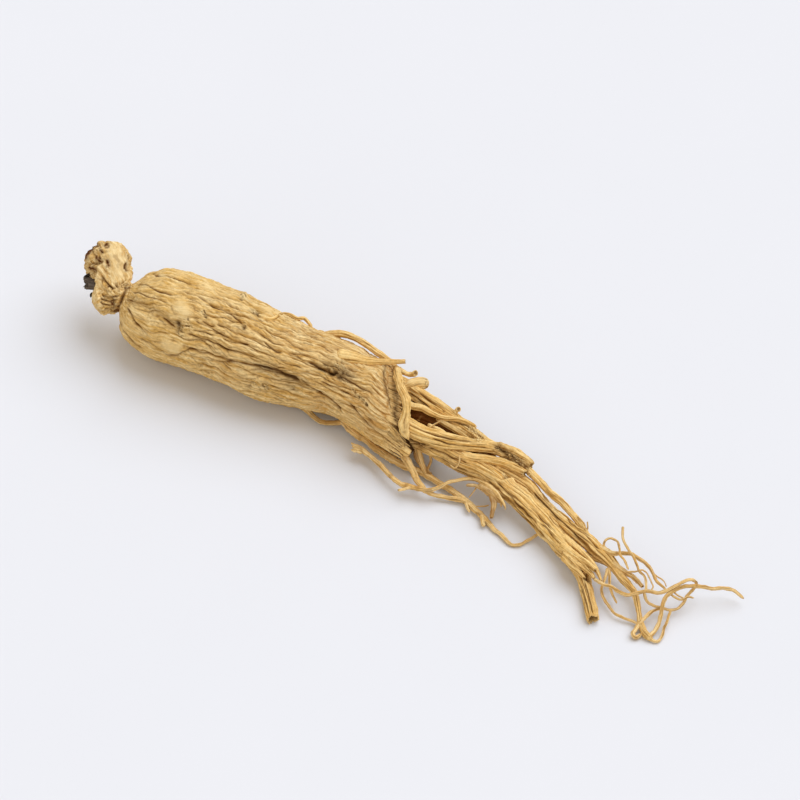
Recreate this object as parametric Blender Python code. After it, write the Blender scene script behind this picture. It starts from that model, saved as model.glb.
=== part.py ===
"""White ginseng root, dried and whole, lying on its side.

One grown root is one solid: the wrinkled taproot, its knobbed neck, its legs and its rootlets, fused where
they grow from each other. The dead stem in the neck's scar is the second solid. Metres, +Z up.
"""

import math
from dataclasses import dataclass

import bmesh
import bpy
from mathutils import Vector, noise

MM = 0.001

# The root's routes are drawn in one oblique view of it: a sheet that faces the eye, which looks down at
# VIEW_RISE and is turned by VIEW_TURN round the vertical from the root's own long axis.
VIEW_RISE = math.radians(50)
VIEW_TURN = math.radians(30)
PLAN_CENTRE = (8.8, -15.5)

# Sizes in millimetres.
TAPROOT_RIDGES = 25
TAPROOT_GROOVE = 1.15
TAPROOT_LUMP = 0.4
TAPROOT_GIRTH = 9.0
NECK_LUMP = 1.0
LEG_LUMP = 0.3
CREST_ANGLE = math.radians(42)
STEM_GAP = 0.3
SLAB_DEPTH = 5.0

# The taproot's relief on its underside: its least share, and the tilts from straight down in degrees between
# which it grows to all of it.
CALM_LEAST = 0.12
CALM_FROM = 14
CALM_TO = 36

# How much of a fold's depth stands out as its crest.
CREST_SHARE = 0.3

# Rings with more corners than this are closed through a ring with a fifth as many.
COARSE_RING = 20
FINE_TO_COARSE = 5

ROUND, BROKEN, POINTED, HOLLOW = "round", "broken", "pointed", "hollow"


@dataclass(frozen=True)
class Strand:
    """One round stretch of the root, swept along its stations.

    A station is (right, down, up, radius) in millimetres: right and down on the oblique sheet, up above the
    surface that the root lies on. With ridges, the strand has two corners to a ridge, and groove is the depth
    of the folds between them. Without, it has that many plain sides. Lump is the height of its knobs, lump_size
    their width, and turn how far the ridges wind round it, in radians a millimetre.
    """

    name: str
    stations: tuple
    rings: int
    sides: int = 0
    ridges: int = 0
    groove: float = 0.0
    turn: float = 0.0
    lump: float = 0.0
    lump_size: float = 3.0
    end: str = POINTED


TAPROOT = Strand(
    "taproot",
    (
        (-55.3, -20.7, 10.0, 3.7),
        (-53.8, -20.0, 9.7, 6.2),
        (-52.4, -19.2, 9.3, 7.4),
        (-50.4, -18.3, 9.1, 8.3),
        (-47.4, -17.4, 8.9, 9.1),
        (-42.2, -15.6, 8.9, 9.3),
        (-34.9, -12.9, 8.7, 9.1),
        (-28.0, -9.6, 8.5, 8.9),
        (-21.2, -7.0, 8.1, 8.3),
        (-13.5, -4.7, 7.8, 7.6),
        (-9.2, -2.6, 7.7, 7.2),
        (-4.6, -0.2, 7.7, 7.3),
        (-2.0, 1.6, 7.7, 7.1),
        (0.4, 3.2, 7.6, 6.5),
    ),
    rings=34,
    ridges=TAPROOT_RIDGES,
    groove=TAPROOT_GROOVE,
    turn=0.006,
    lump=TAPROOT_LUMP,
    lump_size=6.0,
    end=HOLLOW,
)

NECK = (
    Strand(
        "neck",
        (
            (-52.6, -19.2, 9.6, 3.0),
            (-55.4, -20.6, 10.2, 3.5),
            (-57.0, -21.8, 10.9, 3.5),
            (-57.4, -23.8, 11.7, 3.6),
            (-58.0, -26.0, 12.5, 4.2),
            (-58.5, -27.8, 12.9, 4.6),
            (-58.7, -29.6, 13.1, 3.9),
            (-58.8, -30.8, 13.2, 2.4),
        ),
        rings=16,
        ridges=8,
        groove=0.6,
        turn=0.08,
        lump=NECK_LUMP,
        end=ROUND,
        lump_size=2.5,
    ),
    Strand(
        "lower_knob",
        (
            (-56.0, -20.6, 10.2, 3.0),
            (-58.8, -20.1, 9.9, 2.9),
            (-60.6, -19.8, 9.7, 2.5),
            (-61.6, -19.6, 9.6, 1.7),
        ),
        rings=6,
        ridges=6,
        groove=0.5,
        turn=0.2,
        lump=NECK_LUMP * 0.6,
        end=ROUND,
        lump_size=2.5,
    ),
)

LEGS = (
    Strand(
        "skin_lobe",
        (
            (-11.0, -0.4, 6.4, 3.6),
            (-8.6, 1.4, 5.9, 4.0),
            (-5.4, 3.6, 5.4, 4.1),
            (-2.2, 5.7, 5.0, 4.0),
            (0.0, 8.0, 4.7, 3.3),
            (1.6, 10.0, 4.5, 2.6),
            (2.4, 11.0, 4.4, 2.0),
        ),
        rings=8,
        ridges=6,
        groove=0.6,
        end=BROKEN,
        lump=LEG_LUMP,
    ),
    Strand(
        "main_leg",
        (
            (-3.0, 3.0, 6.5, 3.4),
            (1.0, 6.0, 6.2, 3.0),
            (4.8, 8.0, 6.0, 2.4),
            (8.8, 10.2, 5.6, 2.2),
            (12.0, 12.2, 5.2, 2.2),
            (16.2, 14.0, 4.8, 2.3),
            (20.0, 16.6, 4.4, 2.4),
            (23.0, 19.0, 4.1, 2.35),
            (25.7, 21.5, 3.8, 2.3),
            (29.0, 25.2, 3.4, 2.2),
            (31.8, 28.4, 3.1, 2.25),
            (34.2, 31.2, 2.8, 2.1),
            (36.0, 34.0, 2.4, 1.7),
            (37.2, 37.6, 1.9, 1.4),
            (38.2, 41.0, 1.5, 1.35),
            (38.6, 43.8, 1.2, 1.3),
        ),
        rings=22,
        ridges=6,
        groove=0.5,
        turn=0.02,
        end=BROKEN,
        lump=LEG_LUMP,
    ),
    Strand(
        "leg_stub",
        (
            (32.0, 29.0, 3.6, 1.9),
            (35.0, 30.6, 3.9, 1.7),
            (37.2, 32.4, 4.0, 1.6),
            (39.0, 34.4, 3.9, 1.3),
        ),
        rings=6,
        ridges=5,
        groove=0.4,
        end=BROKEN,
    ),
    Strand(
        "middle_leg",
        (
            (-1.0, 3.6, 9.2, 1.9),
            (2.2, 5.6, 9.4, 1.7),
            (4.2, 6.6, 9.2, 1.7),
            (7.2, 7.6, 8.8, 1.7),
            (10.2, 8.4, 8.3, 1.6),
            (13.2, 8.8, 7.9, 1.4),
            (16.4, 9.2, 7.6, 1.3),
            (18.8, 9.5, 7.4, 1.3),
            (20.8, 10.2, 7.2, 1.4),
            (23.0, 11.2, 7.0, 1.5),
            (24.8, 12.4, 6.8, 1.5),
            (26.0, 13.4, 6.6, 1.3),
        ),
        rings=13,
        ridges=5,
        groove=0.45,
        turn=0.03,
        end=BROKEN,
        lump=LEG_LUMP,
    ),
    Strand(
        "upper_leg",
        (
            (-1.6, -4.0, 10.8, 1.6),
            (1.0, -2.8, 10.6, 1.6),
            (3.4, -1.1, 10.1, 1.6),
            (6.0, 0.7, 9.5, 1.7),
            (8.6, 2.4, 8.9, 1.6),
            (11.4, 4.4, 8.2, 1.5),
            (14.2, 6.6, 7.6, 1.4),
            (16.8, 8.5, 7.1, 1.3),
            (19.0, 9.8, 6.8, 1.1),
        ),
        rings=10,
        ridges=5,
        groove=0.45,
        turn=0.02,
        lump=LEG_LUMP,
    ),
    Strand(
        "inner_leg",
        (
            (1.0, 2.0, 7.4, 2.2),
            (4.6, 3.4, 7.4, 2.1),
            (8.2, 5.2, 7.2, 1.9),
            (11.6, 7.2, 6.9, 1.7),
            (14.8, 9.2, 6.4, 1.5),
            (18.0, 11.2, 5.8, 1.1),
        ),
        rings=7,
        ridges=4,
        groove=0.45,
    ),
    Strand(
        "second_leg",
        (
            (19.0, 13.0, 5.6, 1.2),
            (23.0, 15.2, 5.0, 1.2),
            (26.0, 17.4, 4.7, 1.2),
            (27.6, 19.4, 4.5, 1.15),
            (29.8, 21.6, 4.3, 1.1),
            (32.0, 23.8, 4.2, 1.2),
            (34.8, 26.2, 4.0, 1.4),
            (37.2, 28.2, 3.9, 1.5),
            (39.4, 30.0, 3.7, 1.5),
            (41.4, 31.8, 3.5, 1.3),
            (42.8, 33.4, 3.3, 0.95),
            (44.0, 35.2, 3.1, 0.85),
            (45.4, 36.8, 2.9, 0.8),
            (46.6, 38.4, 2.6, 0.7),
            (47.1, 40.4, 2.2, 0.6),
            (47.5, 42.6, 1.7, 0.6),
            (47.8, 44.4, 1.3, 0.65),
            (48.6, 46.2, 0.9, 0.7),
            (49.8, 47.4, 0.6, 0.6),
        ),
        rings=20,
        ridges=4,
        groove=0.3,
        turn=0.02,
        lump=LEG_LUMP,
    ),
)

SIDE_ROOTS = (
    Strand(
        "spike_root",
        (
            (-12.6, -8.9, 14.4, 1.6),
            (-9.4, -8.4, 15.0, 1.2),
            (-6.4, -7.7, 14.9, 0.9),
            (-3.3, -7.6, 14.7, 0.65),
            (1.0, -7.7, 14.5, 0.45),
        ),
        rings=7,
        sides=6,
        end=BROKEN,
    ),
    Strand(
        "arch_root",
        (
            (-14.6, -13.2, 12.2, 1.1),
            (-11.8, -13.2, 13.2, 0.95),
            (-9.6, -12.4, 13.6, 0.9),
            (-7.6, -11.4, 13.6, 0.85),
            (-6.0, -10.3, 13.4, 0.8),
            (-4.6, -9.3, 13.1, 0.75),
            (-3.2, -8.6, 12.9, 0.7),
            (-0.8, -6.6, 12.2, 0.5),
        ),
        rings=10,
        sides=6,
    ),
    Strand(
        "cross_root",
        (
            (-0.6, -6.4, 12.6, 0.95),
            (-0.5, -3.9, 13.6, 0.95),
            (0.3, -1.4, 14.1, 0.95),
            (1.4, 0.7, 13.4, 0.95),
            (1.2, 2.7, 12.3, 0.95),
            (0.8, 4.5, 11.0, 0.95),
            (1.1, 6.1, 9.8, 1.0),
            (1.8, 8.0, 8.4, 0.6),
        ),
        rings=10,
        sides=7,
    ),
    Strand(
        "upper_stub",
        (
            (-0.6, -6.0, 12.2, 0.7),
            (1.0, -5.7, 12.0, 0.65),
            (2.2, -5.5, 11.8, 0.6),
            (3.6, -5.3, 11.6, 0.55),
        ),
        rings=4,
        sides=6,
        end=BROKEN,
    ),
    Strand(
        "frayed_stub",
        (
            (0.4, -4.2, 11.4, 1.0),
            (2.4, -4.0, 11.2, 1.1),
            (4.0, -3.6, 10.9, 1.1),
            (5.6, -2.8, 10.5, 0.9),
        ),
        rings=5,
        sides=7,
        end=BROKEN,
    ),
    Strand(
        "strap_root",
        (
            (0.6, 0.4, 10.0, 0.8),
            (2.4, 1.2, 10.2, 0.75),
            (4.4, 1.6, 10.0, 0.7),
            (6.2, 2.7, 9.6, 0.65),
            (8.8, 3.3, 9.0, 0.65),
            (11.0, 3.6, 8.5, 0.65),
            (12.7, 3.9, 8.1, 0.65),
            (14.6, 4.8, 7.6, 0.6),
        ),
        rings=8,
        sides=5,
    ),
    Strand(
        "ribbed_strip",
        (
            (6.8, 3.2, 8.4, 1.0),
            (9.6, 4.6, 8.0, 1.2),
            (12.0, 5.8, 7.6, 1.2),
            (14.0, 7.0, 7.2, 1.1),
            (16.2, 8.4, 6.9, 0.9),
        ),
        rings=6,
        sides=6,
    ),
    Strand(
        "lower_strap",
        (
            (12.0, 11.0, 6.2, 1.0),
            (14.6, 11.5, 6.9, 0.9),
            (17.6, 11.8, 7.1, 0.85),
            (20.8, 12.6, 6.9, 0.85),
            (23.0, 13.5, 6.7, 0.85),
            (25.0, 14.6, 6.4, 0.8),
        ),
        rings=8,
        sides=6,
        end=BROKEN,
    ),
    Strand(
        "side_leg",
        (
            (24.8, 13.2, 6.4, 0.8),
            (26.4, 14.8, 6.0, 0.8),
            (28.0, 16.4, 5.8, 0.75),
            (30.0, 18.6, 5.5, 0.75),
            (32.2, 20.4, 5.2, 0.75),
            (33.8, 22.2, 5.0, 0.7),
            (35.2, 23.8, 4.7, 0.7),
            (37.2, 26.6, 4.2, 0.6),
        ),
        rings=9,
        sides=6,
    ),
    Strand(
        "underside_root",
        (
            (-20.0, 1.2, 2.4, 0.6),
            (-18.4, 2.3, 1.9, 0.6),
            (-17.0, 3.6, 1.7, 0.6),
            (-15.6, 4.4, 1.6, 0.6),
            (-13.4, 4.6, 1.8, 0.6),
            (-11.0, 4.4, 2.2, 0.6),
        ),
        rings=7,
        sides=5,
    ),
    Strand(
        "shoulder_root",
        (
            (-28.2, -17.0, 16.2, 0.5),
            (-25.8, -16.1, 17.0, 0.48),
            (-23.7, -17.1, 14.9, 0.42),
            (-22.2, -17.1, 14.5, 0.4),
            (-20.6, -16.3, 14.3, 0.4),
            (-19.1, -16.3, 13.9, 0.38),
            (-17.8, -14.8, 13.2, 0.35),
        ),
        rings=9,
        sides=4,
    ),
)

ROOTLETS = (
    Strand(
        "trailing_rootlet",
        (
            (-11.6, 4.0, 2.6, 0.75),
            (-10.2, 5.6, 2.2, 0.8),
            (-8.6, 7.0, 2.0, 0.8),
            (-6.4, 8.1, 1.9, 0.8),
            (-5.0, 9.5, 1.7, 0.8),
            (-2.2, 11.4, 1.5, 0.8),
            (0.4, 12.9, 1.4, 0.8),
            (2.3, 13.8, 1.4, 0.8),
            (4.6, 14.6, 1.4, 0.85),
            (6.9, 16.0, 1.3, 0.85),
            (8.8, 17.2, 1.2, 0.9),
            (11.4, 18.9, 1.1, 0.9),
            (13.4, 20.3, 1.1, 0.95),
            (15.2, 22.0, 1.0, 0.9),
            (16.8, 23.6, 0.9, 0.85),
            (18.7, 25.6, 0.7, 0.6),
            (20.2, 27.0, 0.6, 0.5),
            (21.4, 28.2, 0.5, 0.42),
            (22.5, 29.0, 0.5, 0.4),
            (24.0, 28.8, 0.6, 0.36),
            (25.6, 27.8, 0.8, 0.34),
            (28.0, 26.4, 1.4, 0.3),
        ),
        rings=24,
        sides=5,
    ),
    Strand(
        "frayed_rootlet",
        (
            (-9.6, 9.4, 3.2, 1.0),
            (-7.8, 9.8, 3.1, 0.8),
            (-6.4, 10.8, 3.0, 0.65),
            (-4.8, 12.2, 2.8, 0.65),
            (-3.2, 13.8, 2.7, 0.65),
            (-1.7, 15.2, 2.6, 0.6),
            (0.0, 16.6, 2.5, 0.65),
            (1.7, 17.1, 2.5, 0.7),
            (3.2, 17.6, 2.6, 0.6),
            (5.0, 18.1, 2.8, 0.5),
            (6.6, 17.8, 3.0, 0.5),
            (8.2, 17.2, 3.2, 0.45),
            (9.8, 16.4, 3.4, 0.45),
            (12.1, 15.9, 3.6, 0.5),
            (14.2, 15.7, 3.8, 0.7),
            (16.0, 16.2, 3.9, 0.9),
            (17.6, 17.2, 3.8, 1.1),
            (19.2, 18.4, 3.5, 1.2),
            (20.2, 19.8, 3.2, 1.0),
            (20.9, 21.0, 3.0, 0.5),
        ),
        rings=20,
        sides=5,
    ),
    Strand(
        "torn_tip",
        (
            (18.0, 17.8, 3.4, 0.9),
            (18.3, 20.0, 2.6, 0.7),
            (18.3, 21.6, 2.0, 0.55),
            (18.3, 23.2, 1.5, 0.5),
        ),
        rings=5,
        sides=5,
        end=BROKEN,
    ),
    Strand(
        "lobe_rootlet",
        ((0.6, 10.8, 4.4, 0.9), (2.3, 13.6, 3.6, 0.8), (3.2, 15.6, 3.0, 0.75), (4.9, 18.0, 2.6, 0.6)),
        rings=5,
        sides=5,
    ),
    Strand(
        "low_rootlet",
        ((4.6, 18.0, 2.4, 0.5), (6.8, 18.9, 1.5, 0.5), (9.0, 19.4, 1.2, 0.55), (12.4, 20.0, 1.1, 0.6)),
        rings=6,
        sides=5,
    ),
    Strand(
        "shaded_rootlet",
        ((3.4, 9.0, 5.2, 0.75), (4.2, 12.4, 3.0, 0.65), (5.2, 14.8, 1.6, 0.55)),
        rings=5,
        sides=5,
    ),
    Strand(
        "thin_leg",
        (
            (30.4, 24.4, 3.8, 0.55),
            (33.0, 27.0, 3.2, 0.55),
            (34.8, 28.8, 3.0, 0.55),
            (37.0, 30.6, 2.9, 0.55),
            (39.4, 31.9, 2.9, 0.55),
            (41.4, 32.6, 3.1, 0.5),
        ),
        rings=6,
        sides=5,
    ),
    Strand(
        "leg_branch",
        (
            (41.8, 32.2, 3.7, 0.8),
            (43.8, 33.6, 3.9, 0.65),
            (45.4, 34.7, 3.8, 0.6),
            (47.0, 35.8, 3.6, 0.55),
            (48.2, 37.1, 3.4, 0.45),
        ),
        rings=6,
        sides=5,
        end=BROKEN,
    ),
    Strand(
        "tip_rootlet",
        (
            (49.4, 47.0, 0.7, 0.55),
            (51.0, 45.4, 1.2, 0.5),
            (51.8, 43.0, 2.4, 0.5),
            (52.1, 41.2, 3.4, 0.5),
            (52.6, 39.6, 4.2, 0.5),
            (53.5, 38.4, 4.8, 0.5),
            (55.0, 37.5, 5.0, 0.5),
            (56.8, 37.0, 5.0, 0.5),
            (58.8, 37.0, 4.7, 0.5),
            (60.4, 37.2, 4.4, 0.48),
            (62.2, 37.5, 4.0, 0.45),
            (64.5, 37.4, 3.6, 0.45),
            (66.4, 37.9, 3.0, 0.42),
            (68.0, 39.2, 2.2, 0.4),
        ),
        rings=13,
        sides=5,
    ),
    Strand(
        "wave_rootlet",
        (
            (38.6, 35.6, 3.8, 0.4),
            (40.4, 36.6, 4.2, 0.4),
            (42.2, 37.2, 4.4, 0.42),
            (43.6, 38.2, 4.5, 0.45),
            (45.2, 38.8, 4.6, 0.45),
            (47.0, 38.4, 4.7, 0.45),
            (49.0, 38.0, 4.6, 0.45),
            (51.2, 38.3, 4.7, 0.45),
            (53.0, 37.8, 5.3, 0.45),
            (54.8, 36.9, 6.0, 0.4),
            (56.4, 36.0, 6.4, 0.4),
            (58.0, 35.7, 5.9, 0.38),
            (58.9, 36.3, 4.4, 0.38),
            (58.7, 37.1, 3.4, 0.38),
            (57.8, 38.1, 3.0, 0.4),
            (57.0, 39.0, 2.6, 0.38),
            (56.4, 40.2, 2.2, 0.36),
            (55.2, 41.4, 1.8, 0.35),
            (53.8, 41.7, 1.8, 0.35),
            (52.2, 41.4, 2.0, 0.35),
            (50.0, 40.7, 2.4, 0.35),
            (49.0, 39.8, 3.0, 0.35),
            (48.5, 38.4, 4.2, 0.35),
        ),
        rings=25,
        sides=4,
    ),
    Strand(
        "outer_loop",
        (
            (49.4, 47.4, 0.6, 0.4),
            (51.0, 47.9, 0.5, 0.35),
            (51.9, 47.0, 0.7, 0.35),
            (52.5, 45.2, 1.1, 0.35),
            (53.2, 43.4, 1.5, 0.33),
            (53.8, 41.7, 1.8, 0.32),
        ),
        rings=7,
        sides=4,
    ),
    Strand(
        "left_loop",
        (
            (41.3, 33.4, 3.2, 0.4),
            (40.6, 36.0, 2.6, 0.38),
            (40.1, 37.6, 2.2, 0.38),
            (40.4, 39.2, 1.8, 0.38),
            (41.4, 40.8, 1.5, 0.38),
            (42.6, 42.4, 1.2, 0.38),
            (44.2, 43.2, 1.0, 0.38),
            (45.8, 43.8, 0.9, 0.38),
            (47.6, 44.6, 1.1, 0.38),
        ),
        rings=11,
        sides=4,
    ),
    Strand(
        "hanging_rootlet",
        (
            (41.6, 32.4, 3.2, 0.45),
            (41.7, 34.6, 3.0, 0.4),
            (41.7, 36.6, 2.6, 0.36),
            (42.0, 38.2, 2.2, 0.33),
            (43.0, 40.2, 1.6, 0.28),
        ),
        rings=6,
        sides=4,
    ),
    Strand(
        "far_arc",
        (
            (39.8, 29.2, 4.6, 0.8),
            (41.8, 30.3, 5.0, 0.62),
            (43.6, 30.6, 5.4, 0.55),
            (45.8, 30.6, 5.8, 0.5),
            (46.8, 31.1, 5.8, 0.5),
            (48.8, 32.4, 5.4, 0.48),
            (50.1, 34.1, 4.8, 0.42),
            (51.0, 36.0, 4.2, 0.36),
            (52.6, 37.4, 3.8, 0.32),
        ),
        rings=11,
        sides=5,
    ),
    Strand(
        "far_loop",
        (
            (40.4, 29.6, 4.6, 0.34),
            (40.8, 28.1, 6.2, 0.3),
            (42.0, 27.5, 6.9, 0.3),
            (43.2, 28.1, 7.2, 0.3),
            (43.6, 29.4, 7.1, 0.3),
            (43.8, 30.7, 6.6, 0.3),
            (44.7, 32.0, 6.2, 0.3),
            (45.3, 33.5, 5.6, 0.28),
        ),
        rings=11,
        sides=4,
    ),
    Strand(
        "raised_rootlet",
        (
            (48.8, 38.2, 4.5, 0.34),
            (48.9, 36.7, 4.9, 0.32),
            (48.7, 35.2, 5.2, 0.32),
            (47.5, 33.8, 5.6, 0.32),
            (46.7, 31.8, 6.4, 0.32),
            (46.0, 30.6, 7.0, 0.32),
            (45.0, 29.0, 7.8, 0.32),
            (44.3, 27.4, 8.6, 0.34),
            (44.3, 25.2, 10.0, 0.34),
        ),
        rings=11,
        sides=4,
        end=BROKEN,
    ),
    Strand(
        "bridge_rootlet",
        (
            (47.2, 44.8, 1.3, 0.42),
            (48.6, 43.3, 1.9, 0.42),
            (49.8, 42.2, 2.0, 0.4),
            (51.0, 41.6, 2.1, 0.36),
            (52.4, 41.4, 2.1, 0.34),
        ),
        rings=6,
        sides=4,
    ),
    Strand(
        "curled_end",
        (
            (47.8, 44.0, 1.5, 0.5),
            (46.8, 45.4, 1.2, 0.5),
            (46.2, 46.4, 0.9, 0.5),
            (46.8, 47.2, 0.6, 0.48),
            (47.7, 46.6, 0.8, 0.42),
        ),
        rings=7,
        sides=5,
    ),
)

STEM = (
    (-59.0, -23.2, 11.7, 1.3),
    (-61.4, -23.4, 11.7, 1.5),
    (-63.4, -23.5, 11.7, 1.35),
)
STEM_SIDES = 12
STEM_RINGS = 6

# Scars and buttons on the taproot: (distance along it, angle from the eye, length, width, height), in
# millimetres and degrees. A negative height is a pit.
TAPROOT_SCARS = (
    (12.5, 4, 4.2, 5.0, 0.55),
    (15.5, -16, 2.2, 2.4, -0.8),
    (12.0, -42, 5.0, 4.6, 0.4),
    (26.0, 46, 2.0, 2.6, 0.7),
    (43.0, -22, 3.0, 2.8, -0.5),
    (52.0, 8, 4.0, 2.4, -0.6),
    (34.0, 150, 4.0, 4.4, 0.5),
    (56.0, -150, 3.6, 4.0, 0.5),
    (20.0, 110, 2.4, 2.6, -0.6),
)

ROOT_COLOUR = (0.62, 0.43, 0.19, 1.0)
STEM_COLOUR = (0.10, 0.085, 0.075, 1.0)


def eye_direction():
    """The unit vector from the root towards the eye that the sheet faces."""
    flat = math.cos(VIEW_RISE)
    return Vector((math.sin(VIEW_TURN) * flat, -math.cos(VIEW_TURN) * flat, math.sin(VIEW_RISE)))


def placed(right, down, up):
    """A point of the oblique sheet at its height above the surface, in metres in the root's own frame."""
    nearer = (down + up * math.cos(VIEW_RISE)) / math.sin(VIEW_RISE)
    x = right * math.cos(VIEW_TURN) + nearer * math.sin(VIEW_TURN) - PLAN_CENTRE[0]
    y = right * math.sin(VIEW_TURN) - nearer * math.cos(VIEW_TURN) - PLAN_CENTRE[1]
    return Vector((x, y, up)) * MM


def between(before, start, finish, after, share):
    """Catmull-Rom: a value between start and finish on the smooth curve through all four."""
    return 0.5 * (
        2 * start
        + (finish - before) * share
        + (2 * before - 5 * start + 4 * finish - after) * share**2
        + (3 * start - before - 3 * finish + after) * share**3
    )


def smooth_line(stations, count):
    """Count points along the smooth curve through the stations: (centre, radius), in metres, evenly spaced."""
    centres = [placed(*station[:3]) for station in stations]
    radii = [station[3] * MM for station in stations]
    fine = []
    steps = 12
    last = len(stations) - 1
    for i in range(last):
        ends = [max(i - 1, 0), i, i + 1, min(i + 2, last)]
        for step in range(steps + (i == last - 1)):
            share = step / steps
            centre = between(*(centres[k] for k in ends), share)
            radius = between(*(radii[k] for k in ends), share)
            fine.append((centre, radius))
    lengths = [0.0]
    for (a, _), (b, _) in zip(fine, fine[1:]):
        lengths.append(lengths[-1] + (b - a).length)
    line = []
    k = 0
    for i in range(count):
        wanted = lengths[-1] * i / (count - 1)
        while k < len(lengths) - 2 and lengths[k + 1] < wanted:
            k += 1
        share = (wanted - lengths[k]) / (lengths[k + 1] - lengths[k])
        share = min(max(share, 0.0), 1.0)
        centre = fine[k][0].lerp(fine[k + 1][0], share)
        line.append((centre, fine[k][1] + (fine[k + 1][1] - fine[k][1]) * share, wanted))
    return line


def frames_along(line):
    """For each point of the line, its tangent and the side that faces the eye, carried along without twist."""
    frames = []
    facing = eye_direction()
    for i, (centre, _, _) in enumerate(line):
        ahead = line[min(i + 1, len(line) - 1)][0]
        behind = line[max(i - 1, 0)][0]
        tangent = (ahead - behind).normalized()
        facing = (facing - tangent * facing.dot(tangent)).normalized()
        frames.append((tangent, facing, tangent.cross(facing)))
    return frames


def knobs(point, size):
    """Slow swellings of a strand between -1 and 1, about size millimetres apart, from the point that they are at."""
    place = point / (size * MM)
    return noise.noise(place) + 0.5 * noise.noise(place * 2.1 + Vector((5.2, 1.3, 8.1)))


def scars(along, angle):
    """Height in millimetres of the round scars and pits at a place on the taproot."""
    height = 0.0
    for place, side, length, width, rise in TAPROOT_SCARS:
        off = math.remainder(angle - math.radians(side), math.tau) * TAPROOT_GIRTH
        height += rise * math.exp(-(((along - place) / length * 2) ** 2) - (off / width * 2) ** 2)
    return height


def groove_depth(strand, ridge, along):
    """Depth in millimetres of one fold at a distance along the strand: each one fades out and comes back."""
    wave = math.sin(along / 2.6 + 2.4 * ridge) * math.sin(along / 7.9 + 1.3 * ridge)
    return strand.groove * (0.75 + 0.6 * wave)


def calm(outward):
    """How much of its relief the taproot keeps: little where it faces the surface, all of it elsewhere."""
    tilt = math.degrees(outward.angle(Vector((0.0, 0.0, -1.0))))
    return min(1.0, max(CALM_LEAST, (tilt - CALM_FROM) / (CALM_TO - CALM_FROM)))


def ring_corners(strand, centre, radius, along, frame, flare):
    """The corners of one ring of a strand. Flare is 0 along the strand and 1 at a broken end."""
    tangent, facing, side = frame
    sides = strand.sides or 2 * strand.ridges
    along_mm = along / MM
    corners = []
    for j in range(sides):
        ridge, in_groove = divmod(j, 2)
        angle = math.tau * j / sides + strand.turn * along_mm
        relief = 0.0
        if strand.ridges:
            weave = math.sin(along_mm / 3.1 + 1.9 * ridge) + 0.8 * math.sin(along_mm / 5.3 - 0.7 * ridge)
            angle += 0.17 * math.tau / strand.ridges * weave
            relief += (CREST_SHARE - in_groove) * groove_depth(strand, ridge, along_mm)
        else:
            relief += 0.1 * radius / MM * math.sin(along_mm / 0.9 + 2.0 * j)
        outward = facing * math.cos(angle) + side * math.sin(angle)
        relief += strand.lump * knobs(centre + outward * radius, strand.lump_size)
        if strand is TAPROOT:
            relief = (relief + scars(along_mm, angle)) * calm(outward)
        ragged = flare * 0.35 * radius * math.sin(2.3 * j)
        corners.append(centre + outward * (radius + relief * MM) + tangent * ragged)
    return corners


def close_end(mesh, ring, place, tip):
    """Closes a ring with a cone, its point at tip times the radius. A fine ring gets a coarser one inside it."""
    centre, radius, _ = place
    point = centre + tip * radius
    if len(ring) > COARSE_RING:
        step = FINE_TO_COARSE
        inner = []
        for j in range(0, len(ring), step):
            inner.append(mesh.verts.new(ring[j + step // 2].co.lerp(point, 0.5)))
        for n, corner in enumerate(inner):
            for j in range(n * step, (n + 1) * step):
                mesh.faces.new((corner, ring[j], ring[(j + 1) % len(ring)]))
            mesh.faces.new((corner, ring[(n + 1) * step % len(ring)], inner[(n + 1) % len(inner)]))
        ring = inner
    last = mesh.verts.new(point)
    for j, corner in enumerate(ring):
        mesh.faces.new((last, corner, ring[(j + 1) % len(ring)]))


def swept(strand):
    """A strand as one closed mesh object: rings joined by quads, with a fan on each end."""
    line = smooth_line(strand.stations, strand.rings)
    frames = frames_along(line)
    mesh = bmesh.new()
    rings = []
    for i, ((centre, radius, along), frame) in enumerate(zip(line, frames)):
        flare = 1.0 if i == len(line) - 1 and strand.end in (BROKEN, HOLLOW) else 0.0
        corners = ring_corners(strand, centre, radius, along, frame, flare)
        rings.append([mesh.verts.new(corner) for corner in corners])
    sides = len(rings[0])
    for lower, upper in zip(rings, rings[1:]):
        for j in range(sides):
            k = (j + 1) % sides
            mesh.faces.new((lower[j], lower[k], upper[k], upper[j]))
    reach = {ROUND: 0.45, POINTED: 0.8, BROKEN: -0.6, HOLLOW: -0.65}[strand.end]
    close_end(mesh, rings[0], line[0], -0.3 * frames[0][0])
    close_end(mesh, rings[-1], line[-1], reach * frames[-1][0])
    bmesh.ops.recalc_face_normals(mesh, faces=mesh.faces)
    data = bpy.data.meshes.new(strand.name)
    mesh.to_mesh(data)
    mesh.free()
    made = bpy.data.objects.new(strand.name, data)
    bpy.context.scene.collection.objects.link(made)
    return made


def boolean(target, operation, others, solver="MANIFOLD"):
    """Joins the others to the target, or cuts them from it, in one step, and removes them."""
    group = bpy.data.collections.new("operands")
    bpy.context.scene.collection.children.link(group)
    for other in others:
        group.objects.link(other)
    modifier = target.modifiers.new(operation.lower(), "BOOLEAN")
    modifier.operation = operation
    modifier.operand_type = "COLLECTION"
    modifier.collection = group
    modifier.solver = solver
    bpy.context.view_layer.update()
    graph = bpy.context.evaluated_depsgraph_get()
    data = bpy.data.meshes.new_from_object(target.evaluated_get(graph))
    target.modifiers.clear()
    target.data = data
    for other in others:
        bpy.data.objects.remove(other)
    bpy.data.collections.remove(group)


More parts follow.
